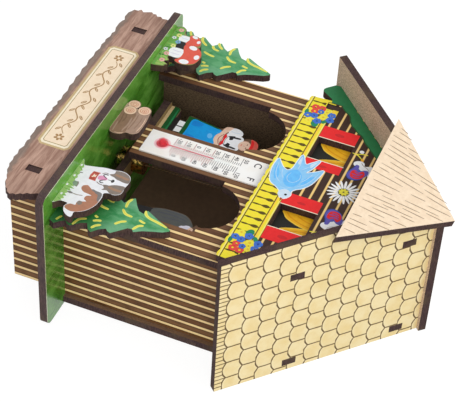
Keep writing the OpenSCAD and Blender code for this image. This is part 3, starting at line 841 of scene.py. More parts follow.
def bend_through(points: np.ndarray, closed: bool, steps: int = 4) -> np.ndarray:
    """Carry a smooth curve through points.

    Each span is a cubic whose end slopes are half the step between its neighbours (Catmull-Rom).

    Args:
        points: The points, one per line.
        closed: Whether the curve returns to its first point.
        steps: How many places to give on each span.

    Returns:
        The places along the curve.
    """
    if closed:
        p0, p1, p2, p3 = (np.roll(points, shift, axis=0) for shift in (1, 0, -1, -2))
    else:
        ends = np.vstack([2 * points[0] - points[1], points, 2 * points[-1] - points[-2]])
        p0, p1, p2, p3 = ends[:-3], ends[1:-2], ends[2:-1], ends[3:]
    t = (np.arange(steps) / steps)[None, :, None]
    a, b, c, d = (p[:, None, :] for p in (p0, p1, p2, p3))
    curve = 0.5 * (2 * b + (c - a) * t + (2 * a - 5 * b + 4 * c - d) * t**2 + (3 * b - a - 3 * c + d) * t**3)
    curve = curve.reshape(-1, points.shape[1])
    return curve if closed else np.vstack([curve, points[-1]])


def brush(points: np.ndarray, width: float) -> np.ndarray:
    """Give the outline of a brush stroke: the curve moved half a width to each side.

    Both ends narrow: half the width is scaled by 0.55 + 3 * the share of the length from the nearer end,
    and by no more than 1.

    Args:
        points: The points that the stroke runs through.
        width: Its full width.

    Returns:
        The closed outline, up one side and down the other.
    """
    path = bend_through(points, False) if len(points) > 2 else np.linspace(points[0], points[1], 5)
    slope = np.gradient(path, axis=0)
    slope /= np.linalg.norm(slope, axis=1, keepdims=True) + TINY
    share = np.linspace(0, 1, len(path))[:, None]
    half = width / 2 * np.clip(0.55 + 3.0 * np.minimum(share, 1 - share), 0, 1)
    off = np.stack([-slope[:, 1], slope[:, 0]], axis=1) * half
    return np.vstack([path + off, (path - off)[::-1]])


def grow(outline: np.ndarray, reach: float) -> np.ndarray:
    """Move a closed outline outwards along the normal of each of its points.

    Args:
        outline: The outline, one point per line.
        reach: How far to move it.

    Returns:
        The larger outline.
    """
    after = np.roll(outline, -1, axis=0)
    area = np.sum(outline[:, 0] * after[:, 1] - after[:, 0] * outline[:, 1])
    slope = after - np.roll(outline, 1, axis=0)
    slope /= np.linalg.norm(slope, axis=1, keepdims=True) + TINY
    return outline + np.stack([slope[:, 1], -slope[:, 0]], axis=1) * reach * np.sign(area)


def oval(x: float, y: float, half_w: float, half_h: float, turn: float = 0.0, count: int = 18) -> np.ndarray:
    """Give an ellipse: half_w * cos(a) and half_h * sin(a) round a middle, turned by an angle.

    Args:
        x: The middle, across.
        y: The middle, up.
        half_w: Half its width.
        half_h: Half its height.
        turn: The angle in degrees.
        count: How many points to give.

    Returns:
        The outline.
    """
    a = np.linspace(0, 2 * np.pi, count, endpoint=False)
    c, s = np.cos(np.radians(turn)), np.sin(np.radians(turn))
    u, v = half_w * np.cos(a), half_h * np.sin(a)
    return np.stack([x + u * c - v * s, y + u * s + v * c], axis=1)


INKS: dict[str, Colour] = {
    "black": (34, 30, 30), "ink": (60, 44, 38), "bark": (104, 78, 60), "umber": (120, 72, 44),
    "grey": (150, 140, 130), "slate": (76, 78, 88), "white": (246, 247, 250), "cream": (250, 238, 210),
    "skin": (240, 200, 176), "red": (232, 38, 40), "brick": (222, 92, 78), "rust": (168, 66, 48),
    "wine": (200, 34, 38), "lampgold": (222, 150, 20), "straw": (246, 232, 128), "logskin": (138, 108, 88),
    "paper": (238, 238, 244), "orange": (240, 176, 32), "gold": (250, 205, 70), "yellow": (240, 228, 70),
    "lime": (160, 190, 104), "green": (40, 122, 74), "forest": (26, 84, 40), "blue": (28, 136, 222),
    "navy": (44, 76, 164), "violet": (96, 88, 178), "olive": (150, 130, 80), "tan": (200, 175, 130),
    "pane": (26, 26, 20), "azure": (104, 186, 250), "mist": (178, 216, 247), "snow": (255, 255, 255),
    "lemon": (230, 238, 112), "amber": (238, 190, 60), "plate": (250, 228, 198), "tick": (70, 66, 72),
    "umberlight": (168, 132, 88), "skinline": (206, 150, 130), "halo": (250, 196, 202),
    "stone": (150, 125, 100), "ring": (204, 132, 104), "wood": (165, 136, 120), "gap": (84, 70, 14),
    "cornflower": (64, 112, 205), "coral": (228, 76, 64), "teal": (30, 130, 90), "lilac": (225, 150, 185),
    "dust": (192, 88, 76), "hound": (132, 120, 112), "coat": (174, 122, 98), "fawn": (158, 126, 104),
    "nose": (66, 64, 66), "ash": (122, 118, 118), "moss": (130, 152, 130), "sward": (152, 188, 112),
    "meadow": (112, 168, 82), "cap": (224, 92, 76), "shade": (32, 30, 32), "primrose": (226, 226, 140),
    "blossom": (238, 172, 172), "gentian": (130, 172, 216), "loden": (84, 86, 84), "pearl": (226, 222, 238),
    "butter": (250, 214, 60), "ice": (206, 226, 244), "haze": (138, 200, 247), "cut": (234, 196, 170),
    "barkline": (120, 92, 74), "rose": (146, 58, 70), "dim": (58, 56, 66), "bulb": (226, 84, 96),
    "apron": (24, 158, 236),
}


@dataclass
class Print:
    """Printed shapes on one flat face, each a leaf of ink 0.03 mm thick that lies on the board.

    The shapes are written one per line: a kind, an ink and numbers. "blob" is a closed smooth outline and
    "poly" a closed one with corners, both as x,y pairs; "line" has a width and then the pairs; "oval" has
    middle, half sizes, turn and, if wanted, its number of points; "daisy" has middle, reach, petal count and
    petal half width. An ink with an asterisk is drawn again mirrored about x = 0, and a blob of "fill/rim"
    has a rim of the second ink.
    """

    name: str
    slot: str
    origin: Vector
    shapes: str
    across: Vector = RIGHTWARD
    up: Vector = UPWARD
    body: str = "house"
    lift: float = 0.02
    step: float = 0.012
    sink: float = 0.01
    rim: float = 0.32
    leaves: list[tuple[np.ndarray, Colour]] = field(default_factory=list)

    def add(self, outline: np.ndarray, ink: str) -> None:
        """Keep one outline, and its mirror image where the ink is marked with an asterisk.

        Args:
            outline: The outline, one point per line.
            ink: The ink's name.
        """
        for flip in (1, -1) if ink.endswith("*") else (1,):
            self.leaves.append((outline * (flip, 1), INKS[ink.rstrip("*")]))

    def read(self) -> None:
        """Turn the written shapes into outlines."""
        for line in filter(None, (text.strip() for text in self.shapes.splitlines())):
            kind, ink, *numbers = line.split()
            if kind == "line":
                self.add(brush(pairs(numbers[1:]), float(numbers[0])), ink)
            elif kind in ("blob", "poly"):
                outline = bend_through(pairs(numbers), True) if kind == "blob" else pairs(numbers)
                fill, _, rim = ink.partition("/")
                if rim:
                    self.add(grow(outline, self.rim), rim)
                self.add(outline, fill)
            elif kind == "oval":
                self.add(oval(*map(float, numbers[:5]), *map(int, numbers[5:])), ink)
            elif kind == "daisy":
                x, y, reach, count, half = map(float, numbers)
                for turn in np.arange(int(count)) * 360 / count:
                    away = reach * 0.62
                    u, v = x + away * np.cos(np.radians(turn)), y + away * np.sin(np.radians(turn))
                    self.add(oval(u, v, reach - away, half, turn, 10), ink)

    def levels(self) -> np.ndarray:
        """Give each leaf a level above those before it that it overlaps, judged by their boxes.

        Returns:
            The levels, from 0.
        """
        boxes = np.array([[*o.min(axis=0), *o.max(axis=0)] for o, _ in self.leaves])
        levels = np.zeros(len(boxes))
        for i in range(1, len(boxes)):
            hit = ((boxes[:i, 0] < boxes[i, 2]) & (boxes[:i, 2] > boxes[i, 0])
                   & (boxes[:i, 1] < boxes[i, 3]) & (boxes[:i, 3] > boxes[i, 1]))
            levels[i] = levels[:i][hit].max() + 1 if hit.any() else 0
        return levels

    def build(self, material: Material) -> bpy.types.Object:
        """Build every leaf as a closed thin prism with its ink as a point colour.

        A leaf's front is its outline lifted off the face by lift and by step for each level, and its back is
        the same outline, sunk into the face.

        Args:
            material: The ink.

        Returns:
            The piece, riding on its body.
        """
        self.read()
        across, up = np.array(self.across), np.array(self.up)
        out = np.cross(across, up)
        verts, faces, inks, base = [], [], [], 0
        for (outline, colour), level in zip(self.leaves, self.levels()):
            after = np.roll(outline, -1, axis=0)
            if np.sum(outline[:, 0] * after[:, 1] - after[:, 0] * outline[:, 1]) < 0:
                outline = outline[::-1]
            n = len(outline)
            flat = np.array(self.origin) + outline[:, :1] * across + outline[:, 1:] * up
            verts += [flat + out * (self.lift + self.step * level), flat - out * self.sink]
            ring = np.arange(n)
            following = (ring + 1) % n
            faces += [list(base + ring), list(base + n + ring[::-1])]
            faces += (base + np.stack([ring, ring + n, following + n, following], axis=1)).tolist()
            inks.append(np.tile(paint(colour), (2 * n, 1)))
            base += 2 * n
        mesh = bpy.data.meshes.new(self.name)
        mesh.from_pydata(to_row(np.vstack(verts)).tolist(), [], faces)
        return settle(mesh, np.vstack(inks), material, self.body)


def pairs(words: list[str]) -> np.ndarray:
    """Turn words of the form x,y into points, one per line."""
    return np.array([[float(n) for n in word.split(",")] for word in words])


def settle(mesh: bpy.types.Mesh, inks: np.ndarray, material: Material, body: str) -> bpy.types.Object:
    """Ink a mesh and put it in the scene as a piece of the same name that rides on a body.

    Args:
        mesh: The mesh, already in place.
        inks: The linear colour of each of its points.
        material: The ink's material.
        body: The body that carries the piece.

    Returns:
        The object.
    """
    mesh.attributes.new("ink", "FLOAT_COLOR", "POINT").data.foreach_set("color", inks.ravel())
    mesh.materials.append(material)
    piece = bpy.data.objects.new(mesh.name, mesh)
    bpy.context.scene.collection.objects.link(piece)
    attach(piece, body)
    LOG.info("%s: %d faces on %s", piece.name, len(mesh.polygons), body)
    return piece


@dataclass(frozen=True)
class InkFinish:
    """Printing ink on fibre board, its colour taken from each leaf's own attribute."""

    name: str = "print_ink"

    def make(self) -> Material:
        """Build the material: the leaf's colour with print wear, satin, with the board's fibres in its bump.

        Returns:
            The material.
        """
        g, shader, made = principled(self.name, Specular_IOR_Level=0.25)
        place, _ = g.house()
        ink = g.node("Attribute", {"attribute_name": "ink"}).outputs["Color"]
        worn = g.use(Effects.print_wear(), Color=ink, Place=place, Amount=0.55)
        g.feed(shader.inputs["Base Color"], worn.outputs["Color"])
        g.feed(shader.inputs["Roughness"], g.calc("MULTIPLY_ADD", g.noise(place, 1.2), 0.2, 0.42))
        g.bump(shader, worn.outputs["Height"], 0.12, 0.00006)
        return made


def placed(name: str, data: bpy.types.ID, side: np.ndarray, up: np.ndarray, back: np.ndarray,
           spot: Vector) -> bpy.types.Object:
    """Put a camera or a lamp in the scene by the directions of its own three axes.

    Args:
        name: Its name.
        data: The camera or the lamp.
        side: Where its X points.
        up: Where its Y points.
        back: Where its Z points, away from what it looks at.
        spot: Its place in millimetres of the house's frame.

    Returns:
        The object.
    """
    made = bpy.data.objects.new(name, data)
    place = np.eye(4)
    place[:3, 0], place[:3, 1], place[:3, 2] = side, up, back
    place[:3, 3] = to_row(np.array(spot))
    made.matrix_world = Matrix(place.tolist())
    bpy.context.scene.collection.objects.link(made)
    return made


@dataclass(frozen=True)
class Studio:
    """The camera, the table that the house lies on and the light."""

    eye: Vector = (454.01, -433.6, 213.57)
    across: Vector = (-0.37952, -0.04773, 0.92395)
    down: Vector = (0.61969, 0.72843, 0.29217)
    ahead: Vector = (-0.68698, 0.68345, -0.24688)
    focal: float = 1659.95
    picture_width: int = 465
    sensor: float = 36.0
    table_y: float = 52.8
    table_half: float = 900.0
    level: float = 0.55
    key_spot: Vector = (-120.0, -620.0, 520.0)
    key_power: float = 3.3
    key_size: float = 0.7
    fill_spot: Vector = (620.0, -260.0, 260.0)
    fill_power: float = 1.98
    fill_size: float = 0.6

    def camera(self) -> None:
        """Place the camera where the picture was taken; its lens is focal * sensor / picture_width."""
        data = bpy.data.cameras.new("camera")
        data.lens = self.focal * self.sensor / self.picture_width
        data.sensor_width = self.sensor
        data.clip_start, data.clip_end = 0.01, 20
        down, ahead = np.array(self.down), np.array(self.ahead)
        bpy.context.scene.camera = placed("camera", data, np.array(self.across), -down, -ahead, self.eye)

    def table(self) -> None:
        """Lay a pale table behind the house that only shows from its upper side, and keeps a soft shadow."""
        signs = np.array([(-1, -1), (1, -1), (1, 1), (-1, 1)]) * self.table_half
        corners = np.stack([signs[:, 0], np.full(4, self.table_y), signs[:, 1]], axis=1)
        mesh = bpy.data.meshes.new("table")
        mesh.from_pydata(to_row(corners).tolist(), [], [(0, 1, 2, 3)])
        made = bpy.data.materials.new("table_white")
        made.use_nodes = True
        g = Graph(made.node_tree)
        made.node_tree.nodes.remove(made.node_tree.nodes["Principled BSDF"])
        paper = g.noise(g.house()[0], 0.4, 3.0)
        soft = g.node("BsdfDiffuse", None, Color=g.mix(paper, (118, 118, 118), (124, 124, 124)))
        lit = g.node("Emission", None, Color=(255, 255, 255), Strength=0.9)
        both = g.node("AddShader")
        g.feed(both.inputs[0], soft.outputs[0])
        g.feed(both.inputs[1], lit.outputs[0])
        shown = g.calc("MULTIPLY", g.node("LightPath").outputs["Is Camera Ray"],
                       g.calc("SUBTRACT", 1.0, g.node("NewGeometry").outputs["Backfacing"]))
        cover = g.node("MixShader")
        for spot, value in ((0, shown), (1, g.node("BsdfTransparent").outputs[0]), (2, both.outputs[0])):
            g.feed(cover.inputs[spot], value)
        g.feed(made.node_tree.nodes["Material Output"].inputs[0], cover.outputs[0])
        mesh.materials.append(made)
        top = bpy.data.objects.new("table", mesh)
        bpy.context.scene.collection.objects.link(top)

    def room(self) -> None:
        """Light the room evenly; what the camera, gloss and glass see of it is white."""
        world = bpy.data.worlds.new("room")
        bpy.context.scene.world = world
        world.use_nodes = True
        g = Graph(world.node_tree)
        path = g.node("LightPath").outputs
        seen = g.calc("MAXIMUM", g.calc("MAXIMUM", path["Is Camera Ray"], path["Is Glossy Ray"]),
                      path["Is Transmission Ray"])
        back = world.node_tree.nodes["Background"]
        g.feed(back.inputs["Color"], (255, 255, 255))
        g.feed(back.inputs["Strength"], g.between(seen, self.level, 1.0))

    def lamps(self) -> None:
        """Hang two large soft lamps that look at the middle of the front wall's foot."""
        for name, spot, power, size in (("key", self.key_spot, self.key_power, self.key_size),
                                        ("fill", self.fill_spot, self.fill_power, self.fill_size)):
            data = bpy.data.lights.new(name, "AREA")
            data.size, data.energy = size, power
            back = np.array(spot) / np.linalg.norm(spot)
            side = np.cross(UPWARD, back)
            side /= np.linalg.norm(side)
            placed(name, data, side, np.cross(back, side), back, spot)


def dress(node: bpy.types.Object, material: Material) -> None:
    """Give a CAD node one material.

    Args:
        node: The node's object.
        material: The material.
    """
    node.data.materials.clear()
    node.data.materials.append(material)
    LOG.info("%s wears %s", node.name, material.name)


# In the facade's art, the dark forest line along the green verge's inner edge is a painted shadow under the
# roof's edge.
FACADE_ART = """
poly green* -61.2,70.3 -59.8,69 -58,67.3 -56.6,66.7 -55.4,67.2 -54,69.2 -52.2,71.8 -51.1,72.3 \
    -49.75,72.6 -49.7,77.5 -48.6,77.9 -46.4,80.1 -45.2,82 -42.2,83.3 -39.9,84.5 -38.6,86.3 -36.7,88.1 \
    -35.4,90.6 -32.7,92.4 -30.4,94.7 -28.6,96.5 -26.3,98.8 -24.3,100.6 -20,104.5 -20,111.2 -61,72.5
line forest* .5 -49.5,77.5 -48.6,77.9 -46.4,80.2 -45.1,82.1 -42.2,83.4 -39.9,84.7 -38.5,86.5 -36.6,88.3 \
    -35.3,90.7 -32.6,92.6 -30.3,94.9 -28.5,96.7 -26.2,99 -24.2,100.8
poly butter* -46,74.65 -40,74.65 -40,77 -46,77
line ink* .3 -49.65,71.4 -46,71.4
line ink* .3 -49.65,77.3 -46,77.3
line ink* .3 -49.65,71.3 -49.65,77.4
line ink* .3 -45.95,71.3 -45.95,77.4
poly straw -50.8,64.2 50.8,64.2 50.8,64.7 -50.8,64.7
poly gap -50.8,64.75 50.8,64.75 50.8,65.15 -50.8,65.15
poly gap -44.9,72.5 44.9,72.5 44.9,72.9 -44.9,72.9
poly gold -44.9,72.9 44.9,72.9 44.9,73.4 -44.9,73.4
poly straw -44.9,74.2 44.9,74.2 44.9,74.6 -44.9,74.6
poly red -35.2,74.9 -28.2,74.9 -28.2,89.9 -35.2,89.9
poly red -14.4,74.9 -9.4,74.9 -9.4,89.9 -14.4,89.9
poly red 7.8,74.9 14.4,74.9 14.4,89.9 7.8,89.9
poly red 28.2,74.9 35.2,74.9 35.2,89.9 28.2,89.9
poly cream -28.2,74.9 -27.85,74.9 -27.85,90.1 -28.2,90.1
poly cream -14.7,74.9 -14.35,74.9 -14.35,90.1 -14.7,90.1
poly cream 14.35,74.9 14.7,74.9 14.7,90.1 14.35,90.1
poly cream 27.85,74.9 28.2,74.9 28.2,90.1 27.85,90.1
oval wine* -31.8 82.4 .9 2 0
oval wine* -11.6 82.4 .7 1.8 0
daisy snow -1.2 94.9 6.7 19 .5
oval black -1.2 94.9 2.2 2.2 0 24
daisy yellow -1.2 94.9 2.1 8 .52
daisy yellow -1.2 94.9 1.05 4 .34
blob white* -21,95 -19.8,93 -18,93.1 -17,95 -15.6,96.8 -16.2,98.6 -15,99.8 -13.2,100.4 -16.4,100.8 \
    -19.6,100.2 -18.7,97.6 -20.4,96.8
line grey* .25 -20.3,95.6 -18.9,96.8 -18,98.6 -16.8,99.9
blob violet* -16.5,99.7 -14.5,100.1 -12.5,99.2 -10.6,98.1 -9.3,95.8 -9.7,93.5 -11.5,92.4 -13.8,92.6 \
    -16.1,93.6 -18.3,94.1 -18.1,95.4 -16.1,95.9 -15.3,97 -16.4,98.1
line navy* .35 -18.3,94.2 -16.1,93.7 -13.8,92.7 -11.5,92.5 -9.8,93.6 -9.4,95.8 -10.7,98
line navy* .3 -16.2,95.9 -15.4,97 -16.3,98.1
blob red* -15.6,97.8 -14.4,98.9 -12.5,98.9 -10.9,97.7 -10.3,95.9 -11,94.1 -12.8,93.5 -14.6,93.8 -15,95 \
    -14.2,96.4
line violet* .45 -14.4,94.8 -13.6,96.4 -13.9,98.2
line violet* .4 -12.8,94.1 -12.5,96 -13,98
line violet* .35 -11.5,94.8 -11.4,96.2 -12,97.6
line yellow* .5 -24.4,90.4 -24,92.6 -22.4,94.8
line yellow* .5 -24.2,92 -25.2,94.4 -25.4,96.6
oval white* -26.3 93.7 .9 .95 0
oval orange* -21.8 95.4 .8 .6 40
oval teal* -34.7 70.6 2.1 1.5 20
oval teal* -37.2 73.8 1.5 .9 -30
oval teal* -40.6 65.1 1.6 .8 0
daisy coral* -44.7 70.4 1.7 5 .85
daisy coral* -44.5 67.6 1.7 5 .85
daisy coral* -42 68.1 1.6 5 .8
daisy yellow* -43.1 73.1 1.6 5 .8
daisy yellow* -39.7 72.4 1.7 5 .85
daisy yellow* -35.6 67.6 1.6 5 .8
daisy cornflower* -42 75.4 1.8 5 .9
daisy cornflower* -39 75.6 1.8 5 .9
daisy cornflower* -36.5 71 1.8 5 .9
daisy cornflower* -42.5 70.6 1.4 5 .7
daisy cornflower* -39.3 68.8 1.7 5 .85
daisy cornflower* -38.6 66.3 1.6 5 .8
oval navy* -42 75.4 .4 .4 0
oval navy* -39 75.6 .4 .4 0
oval navy* -36.5 71 .4 .4 0
oval navy* -39.3 68.8 .4 .4 0
oval amber* -43.1 73.1 .4 .4 0
oval amber* -39.7 72.4 .4 .4 0
oval amber* -35.6 67.6 .4 .4 0
blob haze/white 12,74.2 11,76 9,76.9 7,76.5 5.2,77.6 3.4,79.8 0,82 -4.4,83.2 -9.4,83.9 -7.6,81.4 \
    -6.2,79.4 -5.4,77.8 -8.6,79.4 -14.4,80.8 -11.8,78 -10.2,76 -14.9,73.3 -9.6,72.5 -5.8,72.2 -4,70.8 \
    -5,68.6 -7.2,66.8 -9,65.3 -4.6,64.8 .6,65.4 4.6,67 6.4,69.8 8.4,72.2 10.6,72.8
blob azure -5.6,74.4 -3.4,76.9 .4,77.6 3.6,76.6 4.8,74.2 3.2,71.8 -.4,70.9 -4,72
blob azure -4.6,82.2 -.6,80.9 2.4,78.6 .6,78.2 -2.4,79
blob azure -5.6,66 -1.4,66.2 2.6,67.8 1,68.8 -2.4,68
oval ice 9.2 74.4 2.6 2.5 0
blob ice -13.6,80.3 -10.6,79.4 -8.8,78.6 -10.8,78
blob ice -13.8,73.5 -10.6,74.2 -9,74 -9.8,73
line mist .3 -7.6,82.8 -2.6,81.6 1,79.9 3.4,77.6
line mist .3 -5.8,80.7 -2.4,79.6 .6,78.1
line mist .3 -6.8,66.2 -2.2,66.8 1.4,68.2 3.6,70.4
line mist .3 -4,68.8 -1,69.6 1.2,71
line mist .25 -3.6,76.4 -.8,76.9 1.8,75.4 1.8,73.2 -.4,72 -3.2,72.6
line mist .3 -12.6,79.9 -9,77.8 -6.2,75.8
line mist .3 -13,73.8 -9,74.3 -6,74.3
line mist .25 4.6,75.6 6.2,73.7 6.2,71.6
poly rust 11.8,74.8 13.9,74.3 11.8,73.7
oval black 9.5 75.1 .55 .55 0
"""

WINDOW_ART = """
poly pane* 14.1,74.9 28.4,74.9 28.4,90.3 14.1,90.3
poly orange* 21.2,90.3 21.3,87 22.4,82.7 24.2,78.8 25.7,77.6 27.2,76.4 28.4,76.4 28.4,90.3
poly orange* 21.3,90.3 21.2,87 20.1,82.7 18.3,78.8 16.8,77.6 15.3,76.4 14.1,76.4 14.1,90.3
line gold* .45 21.4,89.6 21.5,87 22.6,82.9 24.4,79 27.2,76.8
line gold* .45 21.1,89.6 21,87 19.9,82.9 18.1,79 15.3,76.8
line lampgold* .5 22.6,90 23.4,85.4 25.4,80.4 27.6,78
line lampgold* .5 19.9,90 19.1,85.4 17.1,80.4 14.9,78
line lampgold* .4 24.8,90 25.6,86 27.4,82
line lampgold* .4 17.7,90 16.9,86 15.1,82
"""

SIGN_ART = """
poly tan -33.6,-17.2 -31.8,-19 31.4,-19 33.2,-17.2 33.2,-7.1 31.4,-5.3 -31.8,-5.3 -33.6,-7.1
poly cream -32.6,-16.9 -31.4,-18 31,-18 32.2,-16.9 32.2,-7.4 31,-6.3 -31.4,-6.3 -32.6,-7.4
poly olive -31.5,-16.5 -30.7,-17.2 30.3,-17.2 31.1,-16.5 31.1,-7.8 30.3,-7.1 -30.7,-7.1 -31.5,-7.8
poly plate -31.2,-16.4 -30.5,-16.95 30.1,-16.95 30.8,-16.4 30.8,-7.9 30.1,-7.35 -30.5,-7.35 -31.2,-7.9
"""

DOG_ART = """
blob coat 43.9,9.4 43,7.9 43.9,6.4 45.5,6.4 46.9,7.9 47.2,9.8 47.6,11.6 48.6,9.9 50.4,9.9 51.2,11.2 \
    52,9.6 52,8.6 53.4,8.2 54.6,8.3 54.8,6.4 56,5.2 57.4,5.3 58.3,7.4 58.2,9.2 57.1,11.4 55.4,13.25 \
    52.9,14.65 50.4,15.35 48,15.1 45.8,13.3 45.2,11.4
blob ash 44.7,11.6 44.8,14.4 46.8,15.3 49.6,15.1 48.4,14.2 46.4,13.6 45.8,12.2
blob ash 44.2,10.6 45,10.6 45.4,12.4 44.8,12.6
oval hound 53 9.3 1.1 1 0
blob hound 31.3,14.2 30.85,16 30.95,17.8 31.85,19.75 33.5,21 35.8,21.25 36.1,19.4 35.8,17.8 35.6,16.4 \
    34.9,15 34.6,13.6 34,12.8 33.2,14 32.4,14.3
line fawn 1.2 33.9,20.8 33.7,18 33.3,14.8
blob hound 38.1,20.95 40,21.1 41.7,21.15 43,20.2 43.7,18.6 43.5,16.9 42.6,15.4 43.1,13.6 42,14 \
    41.3,13.6 40.5,12.8 40,14 39.8,15.2 38.9,16.6 38.3,18.4
line fawn 1.2 41,20.8 41.1,18 40.6,15.2
oval white 37.1 13.9 2.3 2.6 0
oval nose 37.1 15.4 .9 .65 0
line shade .25 37.1,15 37.1,13.4
blob lilac 36.3,12.6 37.1,13.2 37.9,12.6 38.4,10.8 38,9.6 36.6,9.5 35.9,10.8
line shade .35 34.9,12.6 34.7,11.5 35.4,10.9 36.1,11.6 36.8,12.8
line shade .35 39.4,12.6 39.6,11.5 38.9,10.9 38.2,11.6 37.5,12.8
line hound .3 34.2,12.6 34,11.2 34.9,10.1
line hound .3 40.7,13 40.5,11.2 39.8,10
poly dust 34.8,9.5 35.6,9.1 37.3,9 39,9.2 39.8,9.5 39.7,6.6 37.3,6.2 35,6.6
line umber .25 35.7,9 35.5,6.6
line umber .25 38.9,9.1 39,6.6
line cream .5 36.6,8.5 37.5,7.8 38,7
line cream .4 37.8,8.6 37,7.4
line cream .4 36.3,7.6 38.2,7.5
line grey .4 48.9,8.6 49.4,6.6 49.3,4.6
blob ash 49.3,4.9 49.8,3.6 49.2,2.2 48.7,3.4
poly moss 42.8,3.9 45.4,4.2 45.3,1.6 42.6,1.6
line hound .4 42.6,3.6 43.6,4.2 45.6,4.3
line ash .5 37.6,3.2 37.7,2.2 37.4,1.4
poly sward 30.5,.05 31.5,.8 33.4,1.7 34.6,2.2 35.4,1.7 36.4,2.5 37.2,1.8 38.6,2.4 39.6,1.9 40.6,2.6 \
    41.8,2 42.6,2.3 43.8,1.9 45,2.6 45.8,3.6 46,2.2 47,4.2 47.2,2.4 48.4,3.4 48.6,2 49.8,2.8 50.6,2 \
    51.6,3.2 52,2.1 53.2,3 53.8,2 54.6,2.6 54.8,1.9 56,.9 56.6,.05
line meadow .35 33,.5 33.3,1.1 34.2,1.8
line meadow .35 35.2,.4 35.4,1.2 36.2,2.1
line meadow .35 38.4,.4 38.7,1.2 39.2,1.8
line meadow .35 41,.5 41.5,1.2 42,2.1
line meadow .35 44.6,.5 45,1.6 45.6,2.8
line meadow .35 46.4,.6 46.8,2 47,3.6
line meadow .35 48,.6 48.2,1.8 48.4,3
line meadow .35 51.4,.5 51.5,1.6 51.6,2.7
line meadow .35 53.6,.5 53.8,1.2 54.4,2
oval paper 33.8 .9 .6 .45 0
oval paper 40.2 1 .6 .45 0
oval paper 45.8 .7 .6 .4 0
oval paper 51.2 1 .6 .45 0
"""

TOADSTOOL_ART = """
poly meadow -58.9,.15 -31.7,.15 -31.8,1.6 -32.5,4.3 -33,5 -33.6,4.9 -34.1,5.8 -34.6,4.9 -35.3,3.8 \
    -36.1,4.3 -36.8,5.2 -37.8,4.6 -38.8,3.9 -40.4,4.2 -42,4.4 -44,3.8 -46,4.4 -48,4.1 -50,4.6 -52,4 \
    -54.5,4.6 -56.6,4.2 -58.5,3.8 -59.6,2.2
poly shade -50.4,4.3 -45.7,4.3 -45.4,8.3 -47.9,7.6 -49.6,8 -50.5,7.6
poly shade -39.4,4.9 -40.6,5 -39.2,6.2 -37.8,7.4 -39.5,8.9
blob white -45.5,8.6 -43.4,9.1 -40.6,9 -39.6,7.4 -39.7,4.8 -40.4,3.6 -42.8,3 -45.2,3.6 -45.8,6
line pearl .5 -43.9,8.2 -43.7,6.2 -44,4.2
line pearl .5 -41.9,8.2 -41.7,6 -41.8,4
blob white -54.4,7.9 -52.4,8 -50.7,7.8 -50.6,5.7 -51,3.8 -54.2,3.8
line ice .4 -52.8,7.4 -52.7,5.8 -52.8,4.4
blob cap -50.1,8.9 -49.7,11.6 -48.8,13.9 -47.1,15.6 -44.7,16.5 -41.2,16.5 -39,15.6 -37.7,13.6 \
    -36.9,11.4 -36.9,9.6 -37.6,7.9 -38.6,7.7 -39.6,8.7 -41.5,9.2 -43.5,9.2 -45.5,8.4 -48,7.7 -49.6,8.1
oval white -43.2 15.2 1.5 1.1 0
oval white -48.3 11.6 1.3 1.8 -12
oval white -38.5 11.5 1.5 2.1 8
blob cap -56.1,8.3 -55.5,10.9 -53.7,12.7 -51.6,13.3 -50.2,12.8 -49.8,10.4 -49.8,8.6 -49.4,7.6 -50.7,7.5 \
    -52.7,8 -54.9,7.4
oval white -52.7 12.1 1 .75 0
oval white -55.2 9.5 .85 1.3 -20
blob lime -38.6,1.4 -38.4,3.8 -37.6,4.5 -36.8,5.1 -36.2,4.1 -36.6,2
blob lime -34.9,1.6 -34.7,4.5 -34.1,5.6 -33.7,4.7 -33,4.7 -32.6,3.8 -32.4,1.6
line meadow .4 -37.6,1 -37.7,2.6 -37.2,4.2
line meadow .4 -33.8,1 -34,2.8 -33.9,4.4
line sward .4 -42,1 -39,1.4 -35.4,2.8
line lime .5 -47,.5 -47.4,2.4 -48,4
line lime .5 -57,.5 -57.4,2.4 -58,3.6
line lime .5 -42.8,.5 -42.4,2 -41.8,3.6
line forest .35 -44.6,.4 -44.8,1.6 -44.6,2.8
line forest .35 -55.6,.4 -55.4,1.6 -55.6,2.8
line forest .35 -39,.3 -39,1.2 -39.4,2.2
daisy gentian -49.5 4.2 1.2 5 .55
daisy primrose -46.3 3.4 1.2 5 .55
daisy primrose -53.8 2.9 1.2 5 .55
daisy blossom -40.6 2.9 1.2 5 .55
daisy blossom -35.9 3 1.2 5 .6
daisy blossom -57.4 2.3 1.2 5 .55
daisy pearl -51.6 1.6 1 5 .45
daisy pearl -43.2 1.4 1 5 .45
"""

